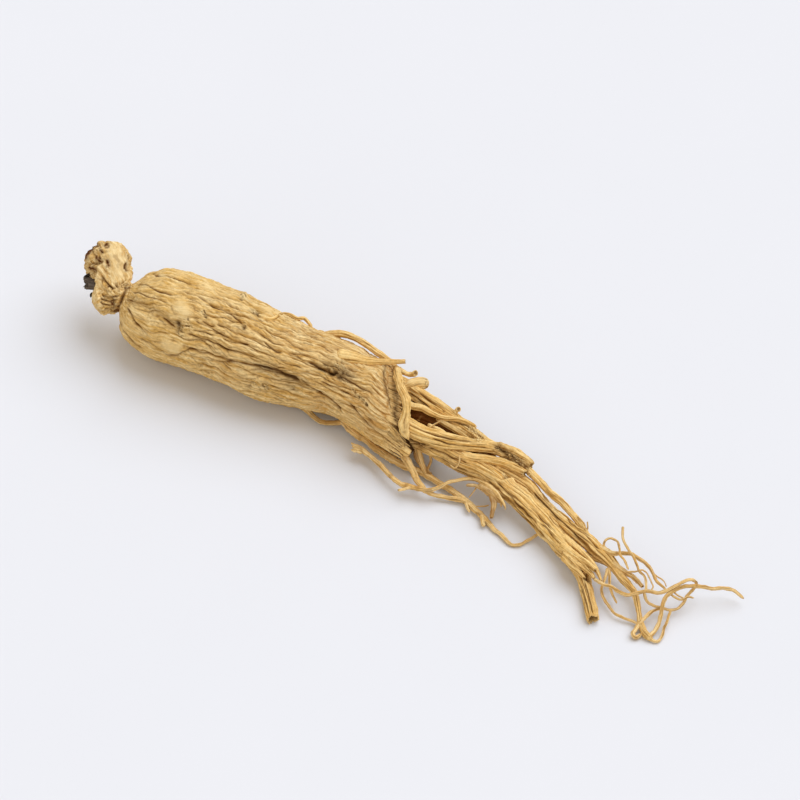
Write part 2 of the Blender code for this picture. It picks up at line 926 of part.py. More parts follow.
def fill_pockets(target):
    """Removes the inner shells that a union leaves where strands enclose a gap, so that the gap is solid."""
    mesh = bmesh.new()
    mesh.from_mesh(target.data)
    waiting = set(mesh.verts)
    shells = []
    while waiting:
        front = [waiting.pop()]
        shell = list(front)
        while front:
            for edge in front.pop().link_edges:
                for corner in edge.verts:
                    if corner in waiting:
                        waiting.remove(corner)
                        front.append(corner)
                        shell.append(corner)
        shells.append(shell)
    shells.sort(key=len)
    for shell in shells[:-1]:
        bmesh.ops.delete(mesh, geom=shell, context="VERTS")
    mesh.to_mesh(target.data)
    mesh.free()


def slab():
    """A block whose top is the surface that the root lies on. What it cuts away leaves the flat spots."""
    bpy.ops.mesh.primitive_cube_add(size=1.0)
    made = bpy.context.object
    made.name = "surface_slab"
    made.dimensions = (0.3, 0.2, SLAB_DEPTH * MM)
    made.location = (0.0, 0.0, -SLAB_DEPTH / 2 * MM)
    bpy.ops.object.transform_apply(location=True, scale=True)
    return made


def stem_strand(name, growth):
    """The dead stem's stub, or, with growth, the wider socket that it stands in."""
    stations = tuple((*station[:3], station[3] + growth) for station in STEM)
    if growth:
        first = stations[0]
        stations = ((first[0] + growth, *first[1:]), *stations[1:])
    return Strand(name, stations, rings=STEM_RINGS, sides=STEM_SIDES, end=BROKEN)


def finish(made, name, colour):
    """Names the node, shades it smooth and gives it its plain material."""
    made.name = name
    made.data.name = name
    material = bpy.data.materials.new(name)
    material.use_nodes = True
    shader = material.node_tree.nodes["Principled BSDF"]
    shader.inputs["Base Color"].default_value = colour
    shader.inputs["Roughness"].default_value = 0.8
    shader.inputs["Metallic"].default_value = 0.0
    made.data.materials.clear()
    made.data.materials.append(material)
    made.data.shade_smooth()
    made.data.set_sharp_from_angle(angle=CREST_ANGLE)


def main():
    """Clears the scene and builds the two nodes."""
    for old in list(bpy.data.objects):
        bpy.data.objects.remove(old)
    root = swept(TAPROOT)
    strands = [swept(strand) for strand in (*NECK, *LEGS, *SIDE_ROOTS, *ROOTLETS)]
    boolean(root, "UNION", strands)
    boolean(root, "DIFFERENCE", [swept(stem_strand("socket", STEM_GAP))])
    boolean(root, "DIFFERENCE", [slab()])
    fill_pockets(root)
    finish(root, "ginseng_root", ROOT_COLOUR)
    finish(swept(stem_strand("stem_stub", 0.0)), "stem_stub", STEM_COLOUR)


main()
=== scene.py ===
"""Dried white ginseng root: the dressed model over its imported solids.

Each stretch of the root is swept along the route of its solid and gets the wrinkles, scars, broken ends
and fibres that the solid only hints at. Lengths are millimetres unless a name or a comment says metres. A
station is (right, down, height above the surface, radius), read on the sheet that faces the eye.
"""

import logging
import math
from dataclasses import dataclass
from enum import Enum

import bpy
import numpy as np
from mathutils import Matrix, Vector


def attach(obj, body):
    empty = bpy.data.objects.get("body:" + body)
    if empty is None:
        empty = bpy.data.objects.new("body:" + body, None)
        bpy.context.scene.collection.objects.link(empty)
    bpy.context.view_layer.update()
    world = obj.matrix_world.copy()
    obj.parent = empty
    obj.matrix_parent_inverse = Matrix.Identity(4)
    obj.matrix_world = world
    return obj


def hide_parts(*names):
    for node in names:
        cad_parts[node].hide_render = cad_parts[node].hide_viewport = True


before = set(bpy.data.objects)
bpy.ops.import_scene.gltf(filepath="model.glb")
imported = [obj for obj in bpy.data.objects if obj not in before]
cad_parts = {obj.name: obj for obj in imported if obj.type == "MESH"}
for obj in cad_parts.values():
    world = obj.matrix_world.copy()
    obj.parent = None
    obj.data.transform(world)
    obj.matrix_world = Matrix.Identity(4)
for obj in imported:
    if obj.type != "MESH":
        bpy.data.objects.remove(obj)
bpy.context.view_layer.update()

# Metres in a millimetre.
MM = 0.001
GRAIN_SEED = 31
log = logging.getLogger("ginseng")

Station = tuple[float, float, float, float]
Spot = tuple[float, float]


@dataclass(frozen=True)
class Sheet:
    """The oblique sheet that the routes are drawn on.

    It faces the eye, which stands rise above the surface and turn to the side, in radians. The root's own
    origin lies at plan_centre from the sheet's.
    """

    rise: float = math.radians(50)
    turn: float = math.radians(30)
    plan_centre: tuple[float, float] = (8.8, -15.5)

    @property
    def eye(self) -> np.ndarray:
        """The unit vector towards the eye."""
        flat = math.cos(self.rise)
        return np.array([math.sin(self.turn) * flat, -math.cos(self.turn) * flat, math.sin(self.rise)])

    def placed(self, drawn: np.ndarray) -> np.ndarray:
        """Points of the sheet in the root's own frame.

        Args:
            drawn: Rows of right, down and the height above the surface.

        Returns:
            Rows of x, y, z.
        """
        right, down, up = np.asarray(drawn, float).T
        nearer = (down + up * math.cos(self.rise)) / math.sin(self.rise)
        x = right * math.cos(self.turn) + nearer * math.sin(self.turn) - self.plan_centre[0]
        y = right * math.sin(self.turn) - nearer * math.cos(self.turn) - self.plan_centre[1]
        return np.stack([x, y, up], axis=1)

    def seen(self, points: np.ndarray) -> np.ndarray:
        """Where points of the root's frame fall on the sheet.

        Args:
            points: Rows of x, y, z.

        Returns:
            Rows of right and down.
        """
        x, y, z = points.T
        x, y = x + self.plan_centre[0], y + self.plan_centre[1]
        nearer = x * math.sin(self.turn) - y * math.cos(self.turn)
        right = x * math.cos(self.turn) + y * math.sin(self.turn)
        return np.stack([right, nearer * math.sin(self.rise) - z * math.cos(self.rise)], axis=1)


SHEET = Sheet()


@dataclass(frozen=True)
class Folds:
    """A family of folds: its pitch across, its reach along, its depth and how wide its grooves are.

    It leans from the strand's own direction, and that lean spreads from fold to fold, both in radians.
    """

    pitch: float
    reach: float
    depth: float
    groove: float = 0.2
    lean: float = 0.0
    spread: float = 0.12


class Grain:
    """Smooth noise from one seed, for growth that repeats nowhere.

    Gain lifts it to about -1 to 1, and layer_shift keeps its layers apart. Ropes of skin grow from spots about
    rope_spacing pitches apart, and rope_blur is how quickly those of one spot give way to the next spot's.
    """

    gain: float = 1.6
    layer_shift: float = 17.3
    rope_spacing: float = 2.1
    rope_blur: float = 3.0

    def __init__(self, seed: int) -> None:
        """Draws the tables of directions and places that the noise is made of.

        Args:
            seed: Each seed gives noise of its own.
        """
        draw = np.random.default_rng(seed)
        self.order = np.tile(draw.permutation(256), 2)
        slopes = draw.normal(size=(256, 3))
        self.slopes = slopes / np.linalg.norm(slopes, axis=1, keepdims=True)
        self.places = draw.random((256, 3))

    def picked(self, cell: np.ndarray) -> np.ndarray:
        """The table row that belongs to each cell."""
        x, y, z = (cell & 255).T
        return self.order[self.order[self.order[x] + y] + z]

    def wave(self, points: np.ndarray) -> np.ndarray:
        """Gradient noise with cells one unit wide.

        Args:
            points: Rows of x, y, z.

        Returns:
            One value a row, from about -1 to 1.
        """
        cell = np.floor(points).astype(np.int64)
        inside = points - cell
        fade = inside**3 * (inside * (inside * 6 - 15) + 10)
        total = np.zeros(len(points))
        for corner in np.ndindex(2, 2, 2):
            corner = np.array(corner)
            slope = self.slopes[self.picked(cell + corner)]
            share = np.where(corner, fade, 1 - fade).prod(axis=1)
            total += share * ((inside - corner) * slope).sum(axis=1)
        return total * self.gain

    def layers(self, points: np.ndarray, count: int) -> np.ndarray:
        """Sums count layers of noise, each half as wide and half as high as the one before."""
        return sum(self.wave(points * 2.0**k + self.layer_shift * k) / 2.0**k for k in range(count))

    def ropes(self, around: float, turns: np.ndarray, place: np.ndarray, fold: Folds,
              seed: int) -> tuple[np.ndarray, np.ndarray]:
        """Ropes of skin that run along a tube, fork and close up again, with narrow grooves between them.

        Args:
            around: Millimetres round the tube.
            turns: Each point's share of a turn round it.
            place: Each point's millimetres along it.
            fold: The family of folds.
            seed: Sets one family apart from another.

        Returns:
            Each point's distance from the nearest groove in millimetres, and how well formed its rope is.
        """
        count = max(3, round(around / (self.rope_spacing * fold.pitch)))
        wide, long = around / count, fold.reach
        column, band = np.floor(turns * count).astype(np.int64), np.floor(place / long).astype(np.int64)
        # Each spot sends out a small patch of waves. Where patches meet, their ropes fork and close up.
        total = np.zeros(len(place), complex)
        for across, along, layer in np.ndindex(3, 3, 3):
            over, ahead = column + across - 1, band + along - 1
            pick = self.picked(np.column_stack([over % count, ahead, np.full(len(place), seed * 3 + layer)]))
            spot = self.places[pick]
            aside = turns * around - (over + spot[:, 0]) * wide
            behind = place - (ahead + spot[:, 1]) * long
            lean = fold.lean + fold.spread * self.slopes[pick][:, 0]
            near = np.exp(-((aside / wide) ** 2 + (behind / long) ** 2) * self.rope_blur)
            phase = (aside * np.cos(lean) + behind * np.sin(lean)) / fold.pitch + spot[:, 2]
            total += near * np.exp(2j * math.pi * phase)
        apart = (1 - np.abs(np.angle(total)) / math.pi) * fold.pitch / 2
        return apart, np.clip(np.abs(total) * self.gain, 0, 1)


GRAIN = Grain(GRAIN_SEED)

# Cell sizes of the skin's noise, in millimetres: its finest roughness, earth and painted shade all over it,
# flecks of earth.
TOOTH_CELL, SOIL_SHADE_CELL, FLECK_CELL = 0.8, 1.5, 1.3
# The same for the marks: coarse noise, noise as fine as fibres, and the slow noise that bends a groove.
ROUGH_CELL, SHRED_CELL, SLOW_CELL = 0.7, 0.3, 2.4
# How far that noise shifts a mark's edge, and how far it shifts a groove.
EDGE_SHIFT, GROOVE_SHIFT = 0.18, 0.3
# Shifts that keep one noise apart from another where both are read at one place.
FIRST_SHIFT, SECOND_SHIFT, FLECK_SHIFT = 13.0, 31.0, 23.0
# How folds weave from side to side: the noise's cell, its share of the weave and its own shift.
WEAVES = (((3.0, 3.0, 5.0), 1.0, 0.0), ((1.5, 1.5, 2.4), 0.5, 7.0))
# Folds of this depth in millimetres, and deeper ones, get their painted shade in full.
DARKEST_FROM = 0.3
# A calm strand's relief: degrees from straight down that stay flat, degrees in which it returns, and the
# share of it that is left there.
REST_FLAT, REST_RETURN, REST_KEPT = 14, 22, 0.12
# Strands of this radius in millimetres, and thicker ones, have their relief in full.
FULL_RELIEF = 0.8
# How much of the bark's folds is left, at even places from its shoulder to its torn edge.
BARK_WORN = (0.5, 0.65, 0.95, 1.0, 0.9, 0.75, 0.65)
# Corners of a rolled tube that are closer than this share of its radius are one corner.
SEAM_GAP = 1e-5


@dataclass(frozen=True)
class Route:
    """A smooth line through stations, finely sampled: where it runs, how thick, and which way it faces."""

    along: np.ndarray
    centre: np.ndarray
    radius: np.ndarray
    ahead: np.ndarray
    facing: np.ndarray

    @staticmethod
    def through(stations: tuple[Station, ...], steps: int = 16) -> "Route":
        """Draws the route as a curve that passes through each station.

        Args:
            stations: The stations, in order.
            steps: Samples between two stations.

        Returns:
            The route, with its facing side carried along without twist from the eye's direction.
        """
        drawn = np.asarray(stations, float)
        knots = np.column_stack([SHEET.placed(drawn[:, :3]), drawn[:, 3]])
        padded = np.vstack([knots[:1], knots, knots[-1:]])
        share = (np.arange(steps) / steps)[:, None]
        spans = []
        for before, start, finish, after in zip(padded, padded[1:], padded[2:], padded[3:]):
            bend = 2 * before - 5 * start + 4 * finish - after
            curl = 3 * (start - finish) + after - before
            spans.append(start + 0.5 * share * (finish - before + share * (bend + share * curl)))
        fine = np.vstack([*spans, knots[-1:]])
        centre = fine[:, :3]
        along = np.concatenate([[0.0], np.cumsum(np.linalg.norm(np.diff(centre, axis=0), axis=1))])
        ahead = np.gradient(centre, along, axis=0)
        ahead /= np.linalg.norm(ahead, axis=1, keepdims=True)
        facing = np.empty_like(ahead)
        side = SHEET.eye
        for i, tangent in enumerate(ahead):
            side = side - tangent * side.dot(tangent)
            side = side / np.linalg.norm(side)
            facing[i] = side
        return Route(along, centre, fine[:, 3], ahead, facing)

    @property
    def length(self) -> float:
        """Its length."""
        return float(self.along[-1])

    def at(self, places: np.ndarray) -> tuple[np.ndarray, ...]:
        """Reads the route at distances along it. Past its ends it runs on straight.

        Args:
            places: Distances along the route.

        Returns:
            Centres, radii, tangents and facing sides, one row each.
        """

        def read(values: np.ndarray) -> np.ndarray:
            """Interpolates each column of values at the places."""
            return np.column_stack([np.interp(places, self.along, column) for column in values.T])

        centre, ahead, facing = read(self.centre), read(self.ahead), read(self.facing)
        ahead /= np.linalg.norm(ahead, axis=1, keepdims=True)
        facing -= ahead * (facing * ahead).sum(axis=1, keepdims=True)
        facing /= np.linalg.norm(facing, axis=1, keepdims=True)
        over = np.maximum(places - self.length, 0) + np.minimum(places, 0)
        return centre + ahead * over[:, None], np.interp(places, self.along, self.radius), ahead, facing


class End(Enum):
    """How a strand ends: rows of (distance past its last station, share of its girth), both in radii."""

    ROUND = tuple((math.sin(slope) - 0.9, math.cos(slope)) for slope in np.linspace(0.36, 1.52, 12))
    POINTED = ((0.0, 0.9), (0.5, 0.7), (1.0, 0.45), (1.4, 0.2))
    BLUNT = ((-0.4, 1.0), (-0.2, 0.97), (-0.06, 0.88), (0.0, 0.72), (0.0, 0.3))
    BROKEN = ((-0.06, 1.0), (0.05, 0.94), (0.06, 0.8), (-0.02, 0.6), (-0.08, 0.4), (-0.04, 0.2))
    HOLLOW = (
        (-0.08, 1.0), (0.06, 0.96), (0.04, 0.84), (-0.3, 0.74), (-0.9, 0.62), (-1.5, 0.42), (-1.7, 0.2),
    )


class Look(Enum):
    """What a mark does to the skin."""

    FURROW = "a narrow dark groove"
    VALLEY = "a soft hollow"
    RIDGE = "a raised cord or knob"
    SCAR = "a smooth pale patch"
    PIT = "a dark hole"
    # Stains are old earth, and some are painted shade: beside the cross root, on a leg's shaded flank, in
    # crevices.
    FRAY = "torn skin with fibres"
    STAIN_AND_SHADE = "old earth"


@dataclass
class Skin:
    """The skin of one strand: how high each corner stands, how deep in a groove it lies, which paints shade
    in its grooves and a highlight on its crests, how pale it is, and how stained with earth and painted shade."""

    height: np.ndarray
    crease: np.ndarray
    pale: np.ndarray
    stain_and_shade: np.ndarray

    @staticmethod
    def smooth(corners: int) -> "Skin":
        """The skin before anything has folded or marked it."""
        return Skin(*np.zeros((4, corners)))


@dataclass(frozen=True)
class Weather:
    """The noise that roughens the marks, at each corner of a strand: coarse, as fine as fibres, and slow."""

    rough: np.ndarray
    shred: np.ndarray
    slow: np.ndarray

    @staticmethod
    def over(base: np.ndarray) -> "Weather":
        """Reads the noise at the corners of a strand.

        Args:
            base: The corners before their folds.

        Returns:
            The noise.
        """
        slow = GRAIN.wave(base / SLOW_CELL + FIRST_SHIFT)
        return Weather(GRAIN.layers(base / ROUGH_CELL, 3), GRAIN.layers(base / SHRED_CELL, 2), slow)


@dataclass(frozen=True)
class Mark:
    """Marks of one kind on the side that faces the eye, each along its line of spots on the sheet.

    A groove's depth, a ridge's height and a stain's strength are all called height. A groove narrows to its
    tip over run_out millimetres, down to tip of its width, and steep is how sharply it drops.
    """

    look: Look
    width: float
    height: float
    lines: tuple[tuple[Spot, ...], ...]
    run_out: float = 1.2
    tip: float = 0.2
    steep: float = 1.4

    def nearness(self, line: np.ndarray, seen: np.ndarray) -> np.ndarray:
        """How near points of the sheet are to one of the lines.

        Args:
            line: The line's spots.
            seen: Rows of right and down.

        Returns:
            1 on the line, fading out about the mark's width away and towards the ends of a groove.
        """
        spans = np.linalg.norm(np.diff(line, axis=0), axis=1)
        best = np.linalg.norm(seen - line[0], axis=1)
        along = np.zeros(len(seen))
        for start, finish, before, span in zip(line, line[1:], np.cumsum(spans) - spans, spans):
            share = np.clip((seen - start) @ (finish - start) / span**2, 0, 1)
            apart = np.linalg.norm(seen - start - share[:, None] * (finish - start), axis=1)
            along = np.where(apart < best, before + share * span, along)
            best = np.minimum(best, apart)
        if self.look is not Look.FURROW:
            return np.exp(-((best / self.width) ** 2))
        taper = np.clip(np.minimum(along, spans.sum() - along) / self.run_out, self.tip, 1)
        return taper * np.exp(-((best / (self.width * taper)) ** self.steep))

    def press(self, skin: Skin, on: np.ndarray, near: np.ndarray, weather: Weather) -> None:
        """Presses the mark into the skin.

        Args:
            skin: The strand's skin, which is changed.
            on: The corners that the mark can reach.
            near: How near each of those is to the mark's line.
            weather: The noise that roughens it.
        """
        height, crease, pale, stain_and_shade = skin.height, skin.crease, skin.pale, skin.stain_and_shade
        rough, shred = weather.rough[on], weather.shred[on]
        # Near rises to a peak on the line. Flat stays at 1 over the middle of the mark.
        flat = np.clip(near * 2.2, 0, 1)
        # Crease is painted shade in grooves, and below zero a painted highlight on ridges.
        match self.look:
            case Look.FURROW:
                near = near * np.clip(0.9 + 0.6 * weather.slow[on], 0.4, 1.2)
                height[on] -= self.height * near
                crease[on] = np.maximum(crease[on], near)
            case Look.VALLEY:
                height[on] -= self.height * near
                crease[on] += 0.25 * near
            case Look.RIDGE:
                height[on] = height[on] * (1 - 0.5 * near) + self.height * near
                crease[on] -= np.clip(crease[on], 0, 1) * near + 0.3 * near
            case Look.SCAR:
                height[on] = height[on] * (1 - 0.8 * flat) + self.height * (0.5 * flat + 0.5 * near)
                crease[on] *= 1 - 0.85 * flat
                pale[on] = np.maximum(pale[on], 0.5 * near)
            case Look.PIT:
                height[on] = height[on] * (1 - 0.7 * near) - self.height * near * (1 + 0.8 * rough)
                stain_and_shade[on] = np.maximum(stain_and_shade[on], near * np.clip(0.7 + 0.8 * rough, 0, 1))
            case Look.FRAY:
                height[on] += self.height * flat * shred
                pale[on] = np.maximum(pale[on], flat * np.clip(1.4 * shred, 0, 0.5))
                # The dark between the torn fibres is painted shade of the cracks.
                stain_and_shade[on] = np.maximum(stain_and_shade[on], flat * np.clip(-1.8 * shred - 0.1, 0, 0.9))
            case Look.STAIN_AND_SHADE:
                stain_and_shade[on] = np.maximum(stain_and_shade[on], near * self.height * np.clip(0.7 + 0.5 * rough, 0, 1))


@dataclass(frozen=True)
class Relief:
    """The skin's shape on one kind of strand.

    Its folds wind round it by slant, in radians a millimetre, and weave from side to side. Lumps lift it,
    nodules swell and thin the strand, kinks bend it, crumples wrinkle it, and tooth is its finest roughness.
    Fleck is how much old earth is scattered on it. Its corners are step apart round the strand, nearer to
    each other by crowd where it faces the eye, and its rings are pitch apart along it.
    """

    folds: tuple[Folds, ...]
    lump: float = 0.0
    lump_size: float = 6.0
    slant: float = 0.0
    weave: float = 0.35
    nodule: float = 0.0
    nodule_size: float = 2.5
    kink: float = 0.0
    kink_size: float = 4.0
    crumple: float = 0.0
    crumple_size: float = 1.4
    tooth: float = 0.04
    fleck: float = 0.0
    step: float = 0.13
    pitch: float = 0.17
    crowd: float = 0.0


BARK = Relief(
    (Folds(1.4, 5.0, 0.72, 0.15, spread=0.2), Folds(0.75, 2.2, 0.26, 0.13, spread=0.45)),
    lump=0.36, lump_size=6.5, slant=0.004, weave=0.45, tooth=0.12, step=0.19, pitch=0.3, crowd=0.4,
)
NECK_SKIN = Relief(
    (Folds(0.8, 1.6, 0.2, 0.12, lean=0.8, spread=0.8),), lump=0.6, lump_size=2.2, slant=0.06, weave=0.3,
    crumple=0.4, crumple_size=1.3, tooth=0.16, fleck=0.3, step=0.13, pitch=0.14, crowd=0.2,
)
LEG_SKIN = Relief(
    (Folds(0.85, 8.0, 0.26, 0.15, spread=0.05), Folds(0.5, 3.0, 0.08, 0.13)),
    lump=0.18, lump_size=3.6, slant=0.02, weave=0.1, nodule=0.05, nodule_size=3.0, tooth=0.05, crowd=0.3,
)
LEG_BARK = Relief(
    (Folds(0.95, 6.5, 0.24, 0.15, spread=0.08), Folds(0.55, 2.4, 0.08, 0.13, spread=0.2)),
    lump=0.24, lump_size=3.4, slant=0.02, weave=0.12, nodule=0.05, tooth=0.06, crowd=0.3,
)
LOBE_SKIN = Relief(
    (Folds(0.85, 6.0, 0.3, 0.14, spread=0.1),), lump=0.2, lump_size=3.2, slant=0.02, weave=0.2, tooth=0.08,
    step=0.22, pitch=0.22,
)
SIDE_SKIN = Relief(
    (Folds(0.55, 4.5, 0.16, 0.13, spread=0.06),), lump=0.1, lump_size=1.8, slant=0.03, weave=0.1,
    nodule=0.09, nodule_size=2.4,
)
SMOOTH_SKIN = Relief(
    (Folds(0.45, 2.4, 0.07, 0.08, spread=0.3),), lump=0.2, lump_size=1.7, slant=0.03, weave=0.12,
    nodule=0.08, nodule_size=1.6, tooth=0.1,
)
FINE_SKIN = Relief(
    (Folds(0.3, 3.6, 0.12, 0.07),), lump=0.05, lump_size=1.2, slant=0.05, weave=0.08, nodule=0.16,
    nodule_size=1.1, kink=0.12, kink_size=2.4, fleck=0.4, step=0.12, pitch=0.18,
)
STEM_SKIN = Relief(
    (Folds(0.35, 2.0, 0.12, 0.08),), lump=0.06, lump_size=0.9, slant=0.02, weave=0.1, nodule=0.08,
    nodule_size=1.0, step=0.12, pitch=0.14,
)
HAIR_SKIN = Relief(
    (), lump=0.02, lump_size=1.0, weave=0.0, nodule=0.15, nodule_size=1.1, kink=0.1, kink_size=1.8,
    crumple=0.12, crumple_size=0.2,
)


@dataclass(frozen=True)
class Strand:
    """One round stretch of the root.

    A calm strand keeps little relief where it faces the surface under it. Warm is how rosy it is at its
    start and at its end, tear how ragged a broken end is, in radii, skew how far its end slants, and soil how
    much earth lies on it, partly painted shade where laid on heavily. Worn is the share of its folds' depth,
    at even places from its start to its end.
    """

    name: str
    relief: Relief
    end: End = End.POINTED
    stations: tuple[Station, ...] = ()
    calm: bool = False
    warm: tuple[float, float] = (0.6, 0.6)
    tear: float = 0.5
    skew: float = 0.0
    soil_and_shade: float = 0.0
    worn: tuple[float, ...] = (1.0,)

    @property
    def seed(self) -> float:
        """Sets this strand's noise apart from another's."""
        return float(sum(map(ord, self.name)) % 97)

    def profile(self, route: Route) -> np.ndarray:
        """Where each ring stands and how wide it is.

        Args:
            route: The strand's route.

        Returns:
            For each ring from pole to pole: its distance along the route, its share of the girth there, and
            1 where it is past a broken rim.
        """
        first, last = route.radius[0], route.radius[-1]
        tail = self.end.value
        shoulder, spans = 0.55 * first, 60
        cap = [(-place * first, girth, 0.0) for place, girth in reversed(End.ROUND.value)]
        body = np.linspace(shoulder, route.length + tail[0][0] * last, spans)[:-1]
        rows = [(cap[0][0], 0.0, 0.0), *cap, *((place, 1.0, 0.0) for place in body)]
        rows += [(route.length + place * last, girth, float(k > 1)) for k, (place, girth) in enumerate(tail)]
        rows.append((rows[-1][0], 0.0, 1.0))
        drawn = np.array(rows)
        wide = drawn[:, 1] * route.at(drawn[:, 0])[1]
        walk = np.concatenate([[0.0], np.cumsum(np.hypot(np.diff(drawn[:, 0]), np.diff(wide)))])
        even = np.linspace(0, walk[-1], max(12, round(walk[-1] / self.relief.pitch)))
        return np.column_stack([np.interp(even, walk, column) for column in drawn.T])

    def build(self, marks: tuple[Mark, ...] = ()) -> bpy.types.Object:
        """Makes the strand: a tube whose rings are moved on to the route and whose skin is then folded.

        Args:
            marks: Marks of the side that faces the eye.

        Returns:
            The strand's own object, closed, its place in its mesh.
        """
        route = Route.through(self.stations)
        rings = self.profile(route)
        corners = max(8, round(math.tau * float(route.radius.max()) / self.relief.step))
        piece = rolled(self.name, corners, len(rings) - 1)
        tube = corners_of(piece)
        ring = rings[np.rint((tube[:, 2] + 1) / 2 * (len(rings) - 1)).astype(int)]
        angle = np.arctan2(tube[:, 1], tube[:, 0])
        angle -= self.relief.crowd * np.sin(angle)
        placed, wear = self.folded(route, ring, angle, marks)
        piece.data.vertices.foreach_set("co", (placed * MM).astype(np.float32).ravel())
        for name, values in wear.items():
            kind, field = ("FLOAT_VECTOR", "vector") if values.ndim == 2 else ("FLOAT", "value")
            layer = piece.data.attributes.new(name, kind, "POINT")
            layer.data.foreach_set(field, values.astype(np.float32).ravel())
        piece.data.shade_smooth()
        return piece

    def folded(self, route: Route, ring: np.ndarray, angle: np.ndarray,
               marks: tuple[Mark, ...]) -> tuple[np.ndarray, dict[str, np.ndarray]]:
        """Works out where every corner of the strand lies.

        Args:
            route: The strand's route.
            ring: For each corner, its ring's distance along the route, its share of the girth, and 1 past a
                broken rim.
            angle: Each corner's angle from the facing side.
            marks: Marks of the side that faces the eye.

        Returns:
            The corners in the root's frame, and the values that the finishes read.
        """
        place, inner, _ = ring.T
        centre, radius, ahead, facing = self.strayed(route, place)
        side = np.cross(ahead, facing)
        outward = facing * np.cos(angle)[:, None] + side * np.sin(angle)[:, None]
        base = centre + outward * (radius * inner)[:, None]
        skin = Skin.smooth(len(place))
        lay = self.roped(skin, route, ring, angle)
        self.crumpled(skin, base)
        self.marked(skin, base, outward, marks)
        self.soiled_and_shaded(skin, base)
        if self.calm:
            from_below = np.degrees(np.arccos(np.clip(-outward[:, 2], -1, 1)))
            skin.height *= np.clip((from_below - REST_FLAT) / REST_RETURN, REST_KEPT, 1)
        base = base + ahead * self.ended(skin, route, ring, angle)[:, None]
        stand = skin.height * np.clip(inner * 1.6, 0, 1) * np.minimum(1, radius / FULL_RELIEF)
        corners = base + outward * stand[:, None]
        corners[:, 2] = np.maximum(corners[:, 2], 0.0)
        warm = np.interp(place, (0, route.length), self.warm) * (0.7 + 0.3 * outward[:, 2])
        wear = {"crease": skin.crease, "pale": skin.pale, "stain_and_shade": skin.stain_and_shade, "lay": lay * MM, "warm": warm}
        return corners, wear

    def strayed(self, route: Route, place: np.ndarray) -> tuple[np.ndarray, ...]:
        """Reads the route, and lets the strand stray from it and swell and thin as it grew.

        Args:
            route: The strand's route.
            place: Distances along it.

        Returns:
            Centres, radii, tangents and facing sides, one row each.
        """
        relief = self.relief
        centre, radius, ahead, facing = route.at(place)
        level = np.column_stack([place, np.full(len(place), self.seed), np.zeros(len(place))])
        if relief.kink:
            ends = np.clip(np.minimum(place, route.length - place) / relief.kink_size, 0, 1)
            bends = level / np.array([relief.kink_size, 1.0, 1.0])
            for way, shift in ((facing, 0.0), (np.cross(ahead, facing), 41.7)):
                centre = centre + way * (relief.kink * ends * GRAIN.layers(bends + shift, 3))[:, None]
        if relief.nodule:
            knots = level / np.array([relief.nodule_size, 1.0, 1.0]) + 3.1
            radius = radius * (1 + relief.nodule * GRAIN.layers(knots, 2))
        return centre, radius, ahead, facing

    def roped(self, skin: Skin, route: Route, ring: np.ndarray, angle: np.ndarray) -> np.ndarray:
        """Folds the skin into ropes that run along the strand.

        Args:
            skin: The strand's skin, which is changed.
            route: The strand's route.
            ring: Each corner's ring.
            angle: Each corner's angle from the facing side.

        Returns:
            Where each corner lies in the strand's own grain, its fibres running along the third value.
        """
        relief, seed = self.relief, self.seed
        place, inner, _ = ring.T
        thick = float(np.median(route.radius))

        def unrolled(turn: np.ndarray) -> np.ndarray:
            """The corners on a straight tube of even thickness."""
            return np.column_stack([np.cos(turn) * thick, np.sin(turn) * thick, place])

        turned = angle + relief.slant * place
        straight, drift = unrolled(turned), np.zeros(len(place))
        for cell, share, shift in WEAVES:
            drift += share * relief.weave * GRAIN.wave(straight / np.array(cell) + seed + shift)
        turned = turned + drift / thick
        lay = unrolled(turned)
        cap = np.clip(inner * 1.5 - 0.3, 0, 1)
        cap = cap * np.interp(place, np.linspace(0, route.length, len(self.worn)), self.worn)
        for k, fold in enumerate(relief.folds):
            dark, lit = (0.8, 0.0) if k else (1.0, 0.4)
            around, turns = math.tau * thick, turned / math.tau % 1.0
            apart, formed = GRAIN.ropes(around, turns, place, fold, int(seed) + 11 * k)
            swell = 0.85 + 0.55 * GRAIN.wave(lay / (4.0 * fold.pitch) + seed + 5.0 + k)
            swell = np.clip(swell, 0.2, 1.35) * formed * cap
            groove = np.exp(-apart / fold.groove)
            crown = np.clip(2 * apart / fold.pitch, 0, 1) ** 0.4
            skin.height += fold.depth * swell * (0.5 * crown - 0.2 - 0.5 * groove)
            # Crease paints shade down each groove, and lit a painted highlight along each crown.
            drawn = groove * swell * min(1.0, fold.depth / DARKEST_FROM) * dark
            skin.crease = np.maximum(skin.crease, drawn) - lit * crown * swell
        lay[:, :2] *= inner[:, None]
        return lay

    def crumpled(self, skin: Skin, base: np.ndarray) -> None:
        """Lumps, crumples and roughens the skin.

        Args:
            skin: The strand's skin, which is changed.
            base: The corners before their folds.
        """
        relief, seed = self.relief, self.seed
        skin.height += relief.lump * GRAIN.layers(base / relief.lump_size + seed, 2)
        if relief.crumple:
            cell = base / relief.crumple_size
            warp = 0.5 * GRAIN.wave(cell + 9.0)
            wrinkle = np.exp(-np.abs(GRAIN.layers(cell + seed + warp[:, None], 2)) / 0.12)
            wrinkle *= np.clip(0.6 + GRAIN.wave(base / (1.7 * relief.crumple_size) + 3.0), 0, 1)
            skin.height -= relief.crumple * wrinkle
            # Painted shade in the crumples' creases.
            skin.crease = np.maximum(skin.crease, 0.75 * wrinkle)
        skin.height += relief.tooth * GRAIN.layers(base / TOOTH_CELL + seed, 3)

